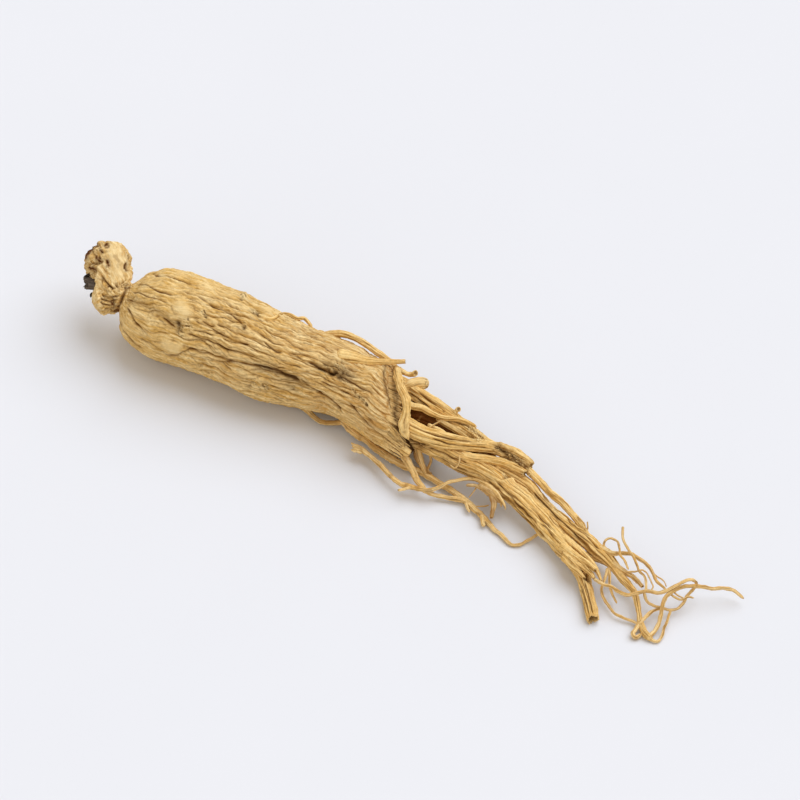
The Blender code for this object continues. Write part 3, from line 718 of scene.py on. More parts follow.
    @staticmethod
    def marked(skin: Skin, base: np.ndarray, outward: np.ndarray, marks: tuple[Mark, ...]) -> None:
        """Lays the marks over the folds, where the strand faces the eye.

        Args:
            skin: The strand's skin, which is changed.
            base: The corners before their folds.
            outward: Each corner's outward direction.
            marks: The marks.
        """
        if not marks:
            return
        seen, weather = SHEET.seen(base), Weather.over(base)
        front = np.clip((outward @ SHEET.eye) * 4, 0, 1)
        edge = np.column_stack([weather.rough, GRAIN.layers(base / 1.1 + SECOND_SHIFT, 2)])
        bend = np.column_stack([weather.slow, GRAIN.wave(base / SLOW_CELL + SECOND_SHIFT)])
        ragged, wandering = seen + EDGE_SHIFT * edge, seen + GROOVE_SHIFT * bend
        for mark, line in ((mark, np.asarray(line, float)) for mark in marks for line in mark.lines):
            drawn = wandering if mark.look is Look.FURROW else ragged
            low, high = line.min(axis=0) - 3 * mark.width, line.max(axis=0) + 3 * mark.width
            on = np.flatnonzero((front > 0) & (drawn > low).all(axis=1) & (drawn < high).all(axis=1))
            mark.press(skin, on, mark.nearness(line, drawn[on]) * front[on], weather)

    def soiled_and_shaded(self, skin: Skin, base: np.ndarray) -> None:
        """Leaves old earth on the skin, partly painted shade where it is laid on heavily: evenly by soil, and
        in flecks.

        Args:
            skin: The strand's skin, which is changed.
            base: The corners before their folds.
        """
        spread = np.clip(0.8 + 0.5 * GRAIN.layers(base / SOIL_SHADE_CELL, 2), 0.5, 1)
        flecks = np.clip(3 * GRAIN.layers(base / FLECK_CELL + self.seed + FLECK_SHIFT, 2) - 1.2, 0, 1)
        skin.stain_and_shade = np.maximum(np.maximum(skin.stain_and_shade, self.soil_and_shade * spread), self.relief.fleck * flecks)

    def ended(self, skin: Skin, route: Route, ring: np.ndarray, angle: np.ndarray) -> np.ndarray:
        """Slants the strand's end, or tears it.

        Args:
            skin: The strand's skin, which is changed.
            route: The strand's route.
            ring: Each corner's ring.
            angle: Each corner's angle from the facing side.

        Returns:
            How far each corner moves along the strand.
        """
        place, inner, past = ring.T
        last = route.radius[-1]
        moved = np.zeros(len(place))
        if self.skew:
            late = np.clip((place - route.length) / (2.2 * last) + 1, 0, 1) ** 1.5
            moved += self.skew * late * np.sin(angle) * np.clip(1.5 * inner, 0, 1)
            # The slanted end is browned all over: painted shade where the bark turns away.
            skin.stain_and_shade = np.maximum(skin.stain_and_shade, np.clip((place - route.length) / 0.5 + 1, 0, 1))
        if self.end in (End.BROKEN, End.HOLLOW):
            torn = np.clip((place - route.length) / last + 1, 0, 1)
            round_it = np.column_stack([np.cos(angle), np.sin(angle), np.full(len(place), self.seed)])
            jag = GRAIN.layers(round_it * 1.7, 2) + 0.5 * GRAIN.layers(round_it * 5.0, 2)
            moved += self.tear * last * torn * jag * np.clip(1.2 * inner, 0, 1)
            # A torn end is pale at its rim and dark towards its middle; inside a hollow end that dark is
            # painted shade.
            skin.pale = np.maximum(skin.pale, 0.55 * past * np.clip(4 * inner - 2.4, 0, 1))
            skin.stain_and_shade = np.maximum(skin.stain_and_shade, 0.8 * past * np.clip(2.6 - 3 * inner, 0, 1))
        return moved


@dataclass(frozen=True)
class Brush:
    """Torn fibres side by side, from a line that they start on to a line that their tips reach.

    They bow up in the middle, and ragged is how much shorter the shortest of them is.
    """

    name: str
    count: int
    thick: float
    start: tuple[tuple[float, float, float], tuple[float, float, float]]
    tips: tuple[tuple[float, float, float], tuple[float, float, float]]
    bow: float
    ragged: float
    soil_and_shade: float

    def fibres(self) -> tuple[Strand, ...]:
        """Draws the fibres, no two of them equally long, thick or straight.

        Returns:
            The fibres.
        """
        draw = np.random.default_rng(sum(map(ord, self.name)))
        start, tips = np.array(self.start), np.array(self.tips)
        made = []
        for k in range(self.count):
            share = (k + draw.uniform(0.1, 0.9)) / self.count
            first = start[0] + share * (start[1] - start[0])
            whole = tips[0] + share * (tips[1] - tips[0]) - first
            reach, thick = 1 - self.ragged * draw.random(), self.thick * draw.uniform(0.7, 1.2)
            line = []
            for step, girth in ((0.0, 0.9), (0.25, 1.0), (0.5, 1.0), (0.75, 0.8), (1.0, 0.45)):
                spot = first + whole * step * reach + draw.normal(scale=0.2 * self.thick, size=3)
                line.append((*spot[:2], spot[2] + 4 * self.bow * step * (1 - step), thick * girth))
            soil_and_shade = self.soil_and_shade * draw.random()
            made.append(Strand(f"{self.name}_{k}", FINE_SKIN, End.BROKEN, tuple(line), soil_and_shade=soil_and_shade))
        return tuple(made)


def corners_of(piece: bpy.types.Object) -> np.ndarray:
    """Reads the corners of a piece's mesh.

    Args:
        piece: The piece.

    Returns:
        Their places in the mesh's own unit, one row each.
    """
    flat = np.empty(len(piece.data.vertices) * 3, np.float32)
    piece.data.vertices.foreach_get("co", flat)
    return flat.reshape(-1, 3).astype(float)


def rolled(name: str, corners: int, rings: int) -> bpy.types.Object:
    """Rolls a flat grid into a tube of one unit's radius, from -1 to 1, closed at a point on each end.

    Args:
        name: The tube's name.
        corners: Corners round it.
        rings: Bands along it.

    Returns:
        The tube, its seam and its two points merged.
    """
    bpy.ops.object.select_all(action="DESELECT")
    bpy.ops.mesh.primitive_grid_add(x_subdivisions=corners, y_subdivisions=rings, size=2.0)
    piece = bpy.context.object
    piece.name = piece.data.name = name
    flat = corners_of(piece)
    girth = np.where(np.abs(flat[:, 1]) > 1 - 0.5 / rings, 0.0, 1.0)
    angle = math.pi * flat[:, 0]
    tube = np.column_stack([np.cos(angle) * girth, np.sin(angle) * girth, flat[:, 1]])
    piece.data.vertices.foreach_set("co", tube.astype(np.float32).ravel())
    bpy.ops.object.mode_set(mode="EDIT")
    bpy.ops.mesh.select_all(action="SELECT")
    bpy.ops.mesh.remove_doubles(threshold=SEAM_GAP)
    bpy.ops.object.mode_set(mode="OBJECT")
    return piece


def joined(name: str, strands: list[bpy.types.Object]) -> bpy.types.Object:
    """Joins strands into one piece.

    Args:
        name: The piece's name.
        strands: Its strands, each of them closed.

    Returns:
        The piece.
    """
    bpy.ops.object.select_all(action="DESELECT")
    for strand in strands:
        strand.select_set(True)
    bpy.context.view_layer.objects.active = strands[0]
    if len(strands) > 1:
        bpy.ops.object.join()
    piece = bpy.context.object
    piece.name = piece.data.name = name
    return piece


def linear(code: str) -> tuple[float, float, float, float]:
    """Turns an sRGB colour such as #C9A063 into the linear values that a shader takes.

    Args:
        code: The colour, with its hash.

    Returns:
        Red, green, blue and 1.
    """
    shares = (int(code[i : i + 2], 16) / 255 for i in (1, 3, 5))
    red, green, blue = (c / 12.92 if c <= 0.04045 else ((c + 0.055) / 1.055) ** 2.4 for c in shares)
    return red, green, blue, 1.0


def add_node(tree: bpy.types.NodeTree, kind: str, inputs: dict[str | int, object] | None = None,
             **settings: object) -> bpy.types.Node:
    """Adds one node to a material.

    Args:
        tree: The material's nodes.
        kind: The node's type.
        inputs: A value, or another node's output to link, for each of its sockets.
        settings: Its own settings.

    Returns:
        The node.
    """
    node = tree.nodes.new(kind)
    for name, value in settings.items():
        setattr(node, name, value)
    for name, value in (inputs or {}).items():
        if isinstance(value, bpy.types.NodeSocket):
            tree.links.new(value, node.inputs[name])
        else:
            node.inputs[name].default_value = value
    return node


@dataclass(frozen=True)
class RootSkin:
    """Sun-dried root skin: matt, streaked along its fibres, with painted shade in its folds and painted
    highlight on its crests.

    Streak and fibre are how wide and how long its streaks are, thread says the same for the thin dark lines
    between them, patch and mottle are the sizes of its patches, and tooth is how far they raise it. Lined is
    how strong the lines are, bump how strong the tooth is, and sheen how much it mirrors.
    """

    name: str
    crest: str = "#E6CB90"
    body: str = "#CCA562"
    deep: str = "#623608"
    rosy: str = "#B98A4A"
    cream: str = "#EAD29C"
    brown: str = "#50351C"
    streak: float = 0.5
    fibre: float = 5.0
    thread: tuple[float, float] = (0.4, 1.8)
    lined: float = 0.45
    bump: float = 0.7
    patch: float = 7.0
    mottle: float = 0.6
    tooth: float = 0.12
    sheen: float = 0.05

    def material(self) -> bpy.types.Material:
        """Makes the finish.

        Returns:
            The material.
        """
        made = bpy.data.materials.new(self.name)
        made.use_nodes = True
        tree = made.node_tree
        shader = tree.nodes["Principled BSDF"]
        spot = add_node(tree, "ShaderNodeTexCoord").outputs["Object"]
        names = ("crease", "pale", "stain_and_shade", "lay", "warm")
        read = {name: add_node(tree, "ShaderNodeAttribute", attribute_name=name) for name in names}
        crease, pale, stain_and_shade, _, warm = (read[name].outputs["Fac"] for name in names)

        # Noise in the round: slow patches, and fine mottling that keeps any stretch from looking painted.
        in_the_round = []
        for size, more in (
            (self.patch, {"Detail": 3.0}),
            (self.mottle, {"Detail": 5.0, "Roughness": 0.65}),
        ):
            noise = add_node(tree, "ShaderNodeTexNoise", {"Vector": spot, "Scale": 1 / (size * MM), **more})
            in_the_round.append(noise.outputs["Fac"])
        patch, mottle = in_the_round

        # Noise drawn out along the root's growth: fibre streaks, and the threads between them.
        drawn_out = []
        for (across, along), more in (
            ((self.streak, self.fibre), {"Detail": 4.0, "Roughness": 0.6}),
            (self.thread, {"Detail": 2.0, "Roughness": 0.5}),
        ):
            cells = (1 / (across * MM), 1 / (across * MM), 1 / (along * MM))
            combed = {0: read["lay"].outputs["Vector"], 1: cells}
            place = add_node(tree, "ShaderNodeVectorMath", combed, operation="MULTIPLY").outputs[0]
            noise = add_node(tree, "ShaderNodeTexNoise", {"Vector": place, "Scale": 1.0, **more})
            drawn_out.append(noise.outputs["Fac"])
        streaks, threads = drawn_out

        # How much of each colour shows: none at the first value, and the most that it may at the second.
        warmth = add_node(tree, "ShaderNodeMath", {0: patch, 1: warm}, operation="MULTIPLY").outputs[0]
        shares = []
        for value, low, high, most in (
            (warmth, 0.15, 0.6, 1.0),
            (streaks, 0.38, 0.68, 1.0),
            (threads, 0.45, 0.34, self.lined),
            # Below zero, crease is a painted highlight on the crests; above it, painted shade in the folds.
            (crease, -0.12, -0.5, 0.45),
            (crease, 0.12, 0.85, 0.86),
        ):
            span = {"Value": value, "From Min": low, "From Max": high, "To Max": most}
            shares.append(add_node(tree, "ShaderNodeMapRange", span).outputs[0])
        rosy, lift, gap, crest_highlight, fold = shares
        shading = {"Value": mottle, "From Min": 0.3, "From Max": 0.7, "To Min": 0.8, "To Max": 1.12}
        dim = add_node(tree, "ShaderNodeMapRange", shading).outputs[0]

        # The body's colour with its rosy patches and pale streaks, then mottled. Over that lie the dark
        # threads, a painted highlight on the crests, painted shade in the folds, healed scars, and stains of
        # earth that are painted shade in places.
        colour = linear(self.body)
        for share, layer in (
            (rosy, self.rosy), (lift, self.crest), (dim, None), (gap, self.deep), (crest_highlight, self.crest),
            (fold, self.deep), (pale, self.cream), (stain_and_shade, self.brown),
        ):
            if layer is None:
                node = add_node(tree, "ShaderNodeVectorMath", {0: colour, "Scale": share}, operation="SCALE")
                colour = node.outputs[0]
                continue
            node = add_node(tree, "ShaderNodeMix", {0: share, 6: colour, 7: linear(layer)}, data_type="RGBA")
            colour = node.outputs[2]
        tree.links.new(colour, shader.inputs["Base Color"])

        # The dry skin's own tooth, raised by its streaks, its mottling and its threads.
        raised = streaks
        for noise in (mottle, threads):
            raised = add_node(tree, "ShaderNodeMath", {0: raised, 1: noise}, operation="ADD").outputs[0]
        relief = {"Height": raised, "Strength": self.bump, "Distance": self.tooth * MM}
        tree.links.new(add_node(tree, "ShaderNodeBump", relief).outputs["Normal"], shader.inputs["Normal"])
        matt = add_node(tree, "ShaderNodeMapRange", {"Value": mottle, "To Min": 0.62, "To Max": 0.85})
        tree.links.new(matt.outputs[0], shader.inputs["Roughness"])
        shader.inputs["Specular IOR Level"].default_value = self.sheen
        return made


@dataclass(frozen=True)
class Paper:
    """Matt white studio paper: even, with no sheen and a faint cloudiness, cloud millimetres across."""

    name: str = "studio_paper"
    colour: str = "#D9DADC"
    cloud: float = 40.0
    roughness: float = 0.9

    def material(self) -> bpy.types.Material:
        """Makes the finish.

        Returns:
            The material.
        """
        made = bpy.data.materials.new(self.name)
        made.use_nodes = True
        tree = made.node_tree
        shader = tree.nodes["Principled BSDF"]
        spot = add_node(tree, "ShaderNodeTexCoord").outputs["Object"]
        cloud = {"Vector": spot, "Scale": 1 / (self.cloud * MM), "Detail": 2.0}
        noise = add_node(tree, "ShaderNodeTexNoise", cloud)
        dim = {"Value": noise.outputs["Fac"], "To Min": 0.99, "To Max": 1.01}
        shaded = {0: linear(self.colour)[:3], "Scale": add_node(tree, "ShaderNodeMapRange", dim).outputs[0]}
        tone = add_node(tree, "ShaderNodeVectorMath", shaded, operation="SCALE")
        tree.links.new(tone.outputs[0], shader.inputs["Base Color"])
        shader.inputs["Roughness"].default_value = self.roughness
        return made


def rooted(piece: bpy.types.Object, material: bpy.types.Material, node: str) -> bpy.types.Object:
    """Dresses a piece, sets it on the root's body and lets it stand for its solid.

    Args:
        piece: The piece.
        material: Its finish.
        node: The solid that it stands for.

    Returns:
        The piece.
    """
    piece.data.materials.clear()
    piece.data.materials.append(material)
    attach(piece, "root")
    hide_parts(node)
    return piece


@dataclass(frozen=True)
class Growth:
    """A piece of the root: strands that grow from each other, their marks, and brushes of torn fibres."""

    name: str
    strands: tuple[Strand, ...]
    marks: tuple[Mark, ...] = ()
    brushes: tuple[Brush, ...] = ()

    def build(self, finish: bpy.types.Material) -> bpy.types.Object:
        """Builds the strands and the torn fibres, joins them and dresses the piece.

        Args:
            finish: The skin's finish.

        Returns:
            The piece.
        """
        torn = (fibre for brush in self.brushes for fibre in brush.fibres())
        piece = joined(self.name, [strand.build(self.marks) for strand in (*self.strands, *torn)])
        return rooted(piece, finish, "ginseng_root")


@dataclass(frozen=True)
class Taproot(Growth):
    """The thick body, from its shoulder to the torn edge of its bark."""

    name: str = "taproot"
    strands: tuple[Strand, ...] = (
        Strand("taproot", BARK, End.BLUNT, calm=True, warm=(0.1, 1.2), skew=6.0, worn=BARK_WORN, stations=(
            (-55.3, -20.7, 10.0, 3.2), (-54.2, -20.1, 9.8, 5.1), (-52.8, -19.4, 9.4, 6.8),
            (-50.6, -18.4, 9.1, 8.1), (-47.4, -17.4, 8.9, 9.1), (-42.2, -15.6, 8.9, 9.3),
            (-34.9, -12.9, 8.7, 9.1), (-28.0, -9.6, 8.5, 8.9), (-21.2, -7.0, 8.1, 8.3),
            (-13.5, -4.7, 7.8, 7.6), (-9.2, -2.6, 7.7, 7.2), (-4.6, -0.2, 7.7, 7.3), (-2.0, 1.6, 7.7, 7.1),
            (0.4, 3.2, 7.6, 6.5),
        )),
    )
    marks: tuple[Mark, ...] = (
        # The broad valley below the shoulder.
        Mark(Look.VALLEY, 1, 0.45, (
            ((-54.8, -20.0), (-52.0, -19.4), (-49.6, -18.2), (-47.4, -16.4), (-45.0, -14.6)),
        )),
        Mark(Look.VALLEY, 1.1, 0.4, (((-28.8, -6.8), (-25.6, -6.0), (-22.8, -5.0), (-19.6, -3.4)),)),
        # The deepest grooves.
        Mark(Look.FURROW, 0.2, 0.36, (
            ((-55.0, -20.2), (-52.4, -19.4), (-50.0, -18.2)),
            ((-48.0, -16.8), (-46.0, -15.4), (-44.4, -14.4)),
            ((-12.4, -4.8), (-9.8, -3.6), (-7.6, -2.4), (-4.8, -0.6)),
        )),
        Mark(Look.FURROW, 0.2, 0.45, (((-55.2, -19.2), (-54.0, -17.4), (-52.4, -15.0), (-50.0, -12.0)),)),
        Mark(Look.FURROW, 0.2, 0.4, (((-56.8, -16.4), (-55.6, -14.0), (-53.6, -11.6), (-51.2, -9.6)),)),
        Mark(Look.FURROW, 0.18, 0.4, (
            ((-52.8, -12.6), (-49.5, -11.0), (-46.6, -8.9), (-43.6, -8.7)),
            ((-16.4, -4.0), (-13.2, -2.6), (-9.6, -0.8)), ((-50.0, -25.2), (-44.8, -24.2), (-40.0, -22.4)),
            ((-53.6, -23.2), (-50.8, -23.0), (-48.0, -21.6), (-44.8, -20.8)),
        )),
        Mark(Look.FURROW, 0.2, 0.5, (
            ((-47.2, -9.3), (-44.6, -8.9), (-42.2, -10.2), (-38.4, -9.3), (-33.0, -7.4)),
            ((-43.4, -13.4), (-38.4, -12.0), (-33.0, -9.6), (-28.4, -8.4)),
            ((-41.6, -16.2), (-37.6, -14.2), (-33.2, -11.8), (-29.4, -11.2)),
            ((-44.0, -22.0), (-40.6, -20.8), (-37.0, -18.8), (-33.2, -16.6), (-30.2, -14.0)),
            ((-27.6, -12.2), (-24.8, -9.7), (-21.1, -8.7), (-18.8, -7.8)),
            ((-11.0, 0.0), (-8.8, 2.4), (-6.8, 5.0), (-4.4, 7.2)),
        )),
        Mark(Look.FURROW, 0.36, 0.9, (((-18.8, -7.8), (-17.2, -7.0), (-14.8, -5.8), (-12.4, -4.8)),)),
        Mark(Look.FURROW, 0.25, 0.6, (
            ((-37.0, -7.6), (-33.0, -7.6), (-28.8, -6.6), (-25.6, -6.0)),
            ((-19.6, -3.4), (-16.6, -1.8), (-13.0, 0.6), (-11.6, 2.6)),
        )),
        Mark(Look.FURROW, 0.42, 0.9, (((-27.6, -6.4), (-25.0, -5.8), (-22.8, -5.0), (-19.6, -3.4)),)),
        Mark(Look.FURROW, 0.18, 0.35, (((-54.4, -21.8), (-52.0, -21.4), (-48.8, -20.2), (-46.0, -19.4)),)),
        # The creases round the two big scars.
        Mark(Look.FURROW, 0.17, 0.34, (
            ((-41.4, -19.6), (-41.2, -17.9), (-42.1, -16.3), (-43.6, -15.4)),
            ((-45.8, -19.6), (-45.3, -17.4), (-44.9, -16.0)),
            ((-44.2, -9.8), (-43.1, -10.9), (-42.7, -12.2)),
        )),
        # The pale round scars and buttons.
        Mark(Look.SCAR, 1.3, 0.6, (((-43.9, -18.4), (-43.0, -17.4)),)),
        Mark(Look.SCAR, 0.9, 0.55, (((-46.8, -11.3), (-45.8, -10.6), (-44.4, -10.4)),)),
        Mark(Look.SCAR, 0.7, 0.4, (((-12.6, -8.8), (-11.2, -8.8)),)),
        Mark(Look.RIDGE, 0.7, 0.4, (((-41.0, -23.8), (-38.8, -22.8), (-37.6, -21.8)),)),
        Mark(Look.RIDGE, 0.3, 0.45, (((-40.4, -17.0), (-39.0, -18.0), (-37.8, -18.2)),)),
        Mark(Look.RIDGE, 0.3, 0.4, (((-40.0, -16.0), (-38.4, -16.4), (-36.8, -15.2)),)),
        Mark(Look.RIDGE, 0.6, 0.8, (((-31.2, -20.8),),)),
        Mark(Look.RIDGE, 0.6, 0.5, (((-27.6, -18.2), (-26.0, -17.6)),)),
        Mark(Look.RIDGE, 0.5, 0.5, (((-31.0, -15.4),),)),
        Mark(Look.RIDGE, 0.5, 0.4, (((-28.8, -3.0), (-27.6, -4.0)),)),
        Mark(Look.RIDGE, 0.5, 0.3, (((-23.4, -9.6), (-22.0, -8.0)),)),
        # The dark pits, where rootlets broke away.
        Mark(Look.PIT, 0.55, 0.7, (((-44.3, -15.6), (-44.1, -13.8)),)),
        Mark(Look.PIT, 0.35, 0.5, (((-38.8, -16.6),),)),
        Mark(Look.PIT, 0.45, 0.6, (((-29.4, -17.9), (-28.0, -17.2)),)),
        Mark(Look.PIT, 0.4, 0.5, (((-31.2, -14.4),),)),
        Mark(Look.PIT, 0.35, 0.4, (((-31.7, -20.1),), ((-30.0, -2.8),),)),
        Mark(Look.PIT, 0.5, 0.4, (((-21.5, -2.4),),)),
        Mark(Look.PIT, 0.3, 0.35, (((-26.6, -2.4),),)),
        Mark(Look.PIT, 0.9, 1.1, (((-14.2, -5.8), (-12.2, -5.0)),)),
        Mark(Look.PIT, 0.28, 0.5, (((-9.2, -1.5),), ((-8.5, -0.8),), ((-7.8, -0.1),), ((-7.2, 0.6),),)),
        Mark(Look.PIT, 0.35, 0.45, (((-7.4, 3.0),),)),
        # Torn skin and fibres round them.
        Mark(Look.FRAY, 0.6, 0.27, (((-44.2, -15.2), (-43.8, -13.4)),)),
        Mark(Look.FRAY, 0.48, 0.23, (
            ((-42.8, -16.0), (-42.0, -14.2)), ((-31.4, -20.6),), ((-21.6, -2.4),),
        )),
        Mark(Look.FRAY, 0.48, 0.27, (((-31.2, -14.8),),)),
        Mark(Look.FRAY, 0.72, 0.36, (((-12.4, -7.2), (-11.0, -5.6)),)),
        Mark(Look.FRAY, 0.54, 0.23, (((-29.0, -3.4), (-26.8, -2.4)),)),
        Mark(Look.FRAY, 0.36, 0.27, (((-9.6, -2.0), (-7.2, 0.4)),)),
        Mark(Look.FRAY, 0.48, 0.18, (((-29.0, -17.8),), ((-39.2, -17.4),),)),
        # Darker brown along the valleys and round the pits, and painted shade along the bark's torn edge.
        Mark(Look.STAIN_AND_SHADE, 1.3, 0.15, (((-54.0, -20.0), (-50.0, -18.4), (-45.6, -15.6)),)),
        Mark(Look.STAIN_AND_SHADE, 0.8, 0.5, (
            ((-28.4, -6.4), (-22.8, -4.8), (-19.2, -3.0)), ((-16.8, -6.8), (-11.6, -4.4)),
        )),
        # Earth in the crumbly hollow below the spike root, deepened with painted shade.
        Mark(Look.STAIN_AND_SHADE, 1.2, 0.8, (((-14.6, -6.6), (-12.4, -5.4), (-9.8, -4.8)),)),
        Mark(Look.STAIN_AND_SHADE, 0.9, 0.4, (((-22.4, -3.0), (-20.8, -2.2)),)),
        # Painted shade: the strip where the bark's edge turns away under the cross root.
        Mark(Look.STAIN_AND_SHADE, 0.6, 0.9, (
            ((-1.0, -5.4), (-0.9, -3.8), (-0.8, -2.0), (-0.8, 0.4), (-1.0, 3.0), (-0.2, 5.6)),
        )),
    )
    brushes: tuple[Brush, ...] = (
        # The shreds that fill the gap beside the cross root, and the fibres that the bark's edge tore into.
        Brush(
            "rim_shred", 24, 0.36, ((-5.2, -6.6, 14.2), (-4.6, 2.8, 11.6)),
            ((-0.2, -4.8, 12.6), (0.8, 6.0, 10.2)),
            bow=0.4, ragged=0.12, soil_and_shade=0.15,
        ),
        Brush(
            "edge_fibre", 9, 0.3, ((-2.4, 4.8, 11.0), (-5.6, 8.0, 6.0)),
            ((2.4, 9.4, 6.6), (0.6, 12.0, 4.6)),
            bow=0.4, ragged=0.25, soil_and_shade=0.1,
        ),
        Brush(
            "edge_shred", 6, 0.22, ((-1.4, 4.8, 11.0), (-2.6, 6.8, 9.4)),
            ((1.6, 8.4, 7.6), (1.2, 9.8, 6.6)),
            bow=0.3, ragged=0.5, soil_and_shade=0.6,
        ),
    )


@dataclass(frozen=True)
class Neck(Growth):
    """The knobbed neck, with the notch that last year's stem grew from."""

    name: str = "neck"
    strands: tuple[Strand, ...] = (
        Strand("neck", NECK_SKIN, End.ROUND, stations=(
            (-52.6, -19.2, 9.6, 3.0), (-55.4, -20.6, 10.2, 3.5), (-57.0, -21.8, 10.9, 3.5),
            (-57.4, -23.8, 11.7, 3.6), (-58.0, -26.0, 12.5, 4.2), (-58.5, -27.8, 12.9, 4.6),
            (-58.7, -29.6, 13.1, 3.9), (-58.8, -30.8, 13.2, 2.4),
        )),
        Strand("lower_knob", NECK_SKIN, End.ROUND, stations=(
            (-56.0, -20.6, 10.2, 3.0), (-58.8, -20.1, 9.9, 2.9), (-60.6, -19.8, 9.7, 2.5),
            (-61.6, -19.6, 9.6, 1.7),
        )),
    )
    marks: tuple[Mark, ...] = (
        # Grooves that run down across the neck.
        Mark(Look.FURROW, 0.28, 0.8, (
            ((-60.2, -27.0), (-59.2, -25.8), (-58.0, -24.2), (-56.8, -22.8), (-55.8, -21.8)),
            ((-63.3, -27.6), (-62.4, -27.2), (-61.2, -27.4), (-60.2, -26.8)),
            ((-61.6, -29.8), (-61.0, -29.0), (-60.8, -28.0), (-60.2, -27.2), (-59.4, -27.4)),
        )),
        Mark(Look.FURROW, 0.25, 0.72, (
            ((-60.7, -26.6), (-60.0, -25.2), (-59.0, -23.8), (-57.8, -22.8), (-56.4, -21.8)),
            ((-59.2, -32.0), (-58.8, -31.0), (-58.2, -30.6)),
        )),
        Mark(Look.FURROW, 0.2, 0.48, (
            ((-58.6, -24.8), (-57.4, -23.4), (-56.0, -22.4)),
            ((-59.8, -18.8), (-58.8, -18.2), (-57.8, -17.6)),
        )),
        Mark(Look.FURROW, 0.2, 0.4, (((-59.6, -25.6), (-59.6, -24.0), (-59.4, -22.6)),)),
        # The whorl, and the folds that run round it.
        Mark(Look.FURROW, 0.17, 0.48, (
            ((-59.2, -22.2), (-58.8, -22.9), (-58.0, -22.9), (-57.6, -22.4), (-58.0, -21.7), (-58.8, -21.7)),
        )),
        Mark(Look.FURROW, 0.25, 0.8, (
            ((-60.0, -22.0), (-59.4, -21.1), (-58.2, -20.5), (-56.8, -20.6), (-55.8, -21.2)),
        )),
        Mark(Look.FURROW, 0.23, 0.64, (
            ((-60.4, -21.2), (-59.6, -20.2), (-58.2, -19.7), (-56.8, -19.9), (-56.0, -20.4)),
            ((-60.6, -20.0), (-59.4, -19.1), (-58.0, -18.8), (-57.2, -19.0)),
        )),
        # Where the neck sits on the shoulder.
        Mark(Look.FURROW, 0.35, 1.12, (
            ((-54.6, -23.8), (-55.0, -22.4), (-55.4, -20.8), (-56.1, -19.4), (-56.6, -17.8)),
        )),
        Mark(Look.FURROW, 0.25, 0.64, (
            ((-60.6, -30.8), (-60.2, -30.2), (-59.4, -29.6), (-59.0, -28.8), (-59.0, -28.0)),
            ((-55.2, -27.8), (-55.3, -26.8), (-54.8, -26.0), (-54.2, -25.8)),
        )),
        Mark(Look.FURROW, 0.35, 0.8, (((-62.8, -29.8), (-62.0, -30.6), (-61.0, -31.2)),)),
        Mark(Look.FURROW, 0.17, 0.32, (((-57.4, -30.8), (-56.2, -30.8), (-55.2, -30.0)),)),
        # The buds and knobs of the head.
        Mark(Look.RIDGE, 0.66, 0.75, (((-60.0, -31.6),),)),
        Mark(Look.RIDGE, 0.55, 0.75, (((-59.8, -29.9),), ((-54.8, -25.4), (-54.5, -24.4)),)),
        Mark(Look.RIDGE, 0.77, 0.75, (((-62.4, -28.4),),)),
        Mark(Look.RIDGE, 0.49, 0.6, (
            ((-61.2, -30.5),), ((-60.6, -28.4),), ((-62.2, -26.6), (-61.2, -26.7)),
        )),
        Mark(Look.RIDGE, 0.77, 0.53, (((-57.9, -30.0), (-56.6, -30.0)),)),
        Mark(Look.RIDGE, 0.44, 0.45, (((-59.8, -26.0), (-58.8, -24.6), (-57.4, -23.2)),)),
        Mark(Look.RIDGE, 0.88, 0.6, (((-60.8, -21.8), (-61.0, -20.4)),)),
        Mark(Look.RIDGE, 0.5, 0.7, (((-60.2, -26.4), (-60.4, -24.4), (-60.4, -22.6)),)),
        Mark(Look.RIDGE, 0.5, 0.5, (((-61.2, -21.6),), ((-61.4, -20.2),), ((-60.6, -18.9),))),
        # The smooth pale side of the head.
        Mark(Look.SCAR, 1.5, 0.0, (((-57.4, -30.0), (-56.4, -27.6), (-56.6, -25.4)),)),
        Mark(Look.SCAR, 0.6, 0.2, (((-62.6, -28.2),), ((-57.2, -29.6), (-56.2, -29.6)))),
        # Pits of bud scales.
        Mark(Look.PIT, 0.3, 0.5, (
            ((-58.7, -31.0),), ((-54.7, -22.8),), ((-57.6, -19.4),), ((-56.6, -18.4),),
            ((-54.9, -27.0), (-54.8, -26.2)),
        )),
        Mark(Look.PIT, 0.25, 0.4, (
            ((-61.0, -31.0),), ((-59.6, -29.6),), ((-60.4, -28.8), (-59.8, -27.8)), ((-58.6, -27.8),),
        )),
        Mark(Look.FRAY, 0.5, 0.12, (((-62.4, -30.0), (-60.4, -30.6)), ((-62.0, -27.6), (-60.4, -27.4)))),
        # Rust that the dried scales left, which in the crevices between the knobs is painted shade as well.
        Mark(Look.STAIN_AND_SHADE, 0.8, 2.0, (((-63.2, -28.8), (-62.6, -30.2), (-61.8, -31.2)),)),
        Mark(Look.STAIN_AND_SHADE, 0.55, 1.6, (
            ((-61.0, -31.2),), ((-58.8, -31.0),), ((-61.6, -26.6), (-60.9, -26.0)),
        )),
        Mark(Look.STAIN_AND_SHADE, 0.4, 1.4, (
            ((-59.8, -29.6),), ((-60.8, -28.6), (-59.8, -27.6)), ((-58.6, -28.0), (-58.4, -27.0)),
            ((-55.0, -27.2), (-54.9, -26.0)), ((-54.4, -22.4),),
        )),
        Mark(Look.STAIN_AND_SHADE, 0.5, 1.3, (
            ((-57.6, -19.6), (-57.4, -18.8)), ((-57.8, -17.9), (-56.4, -17.6)),
        )),
    )


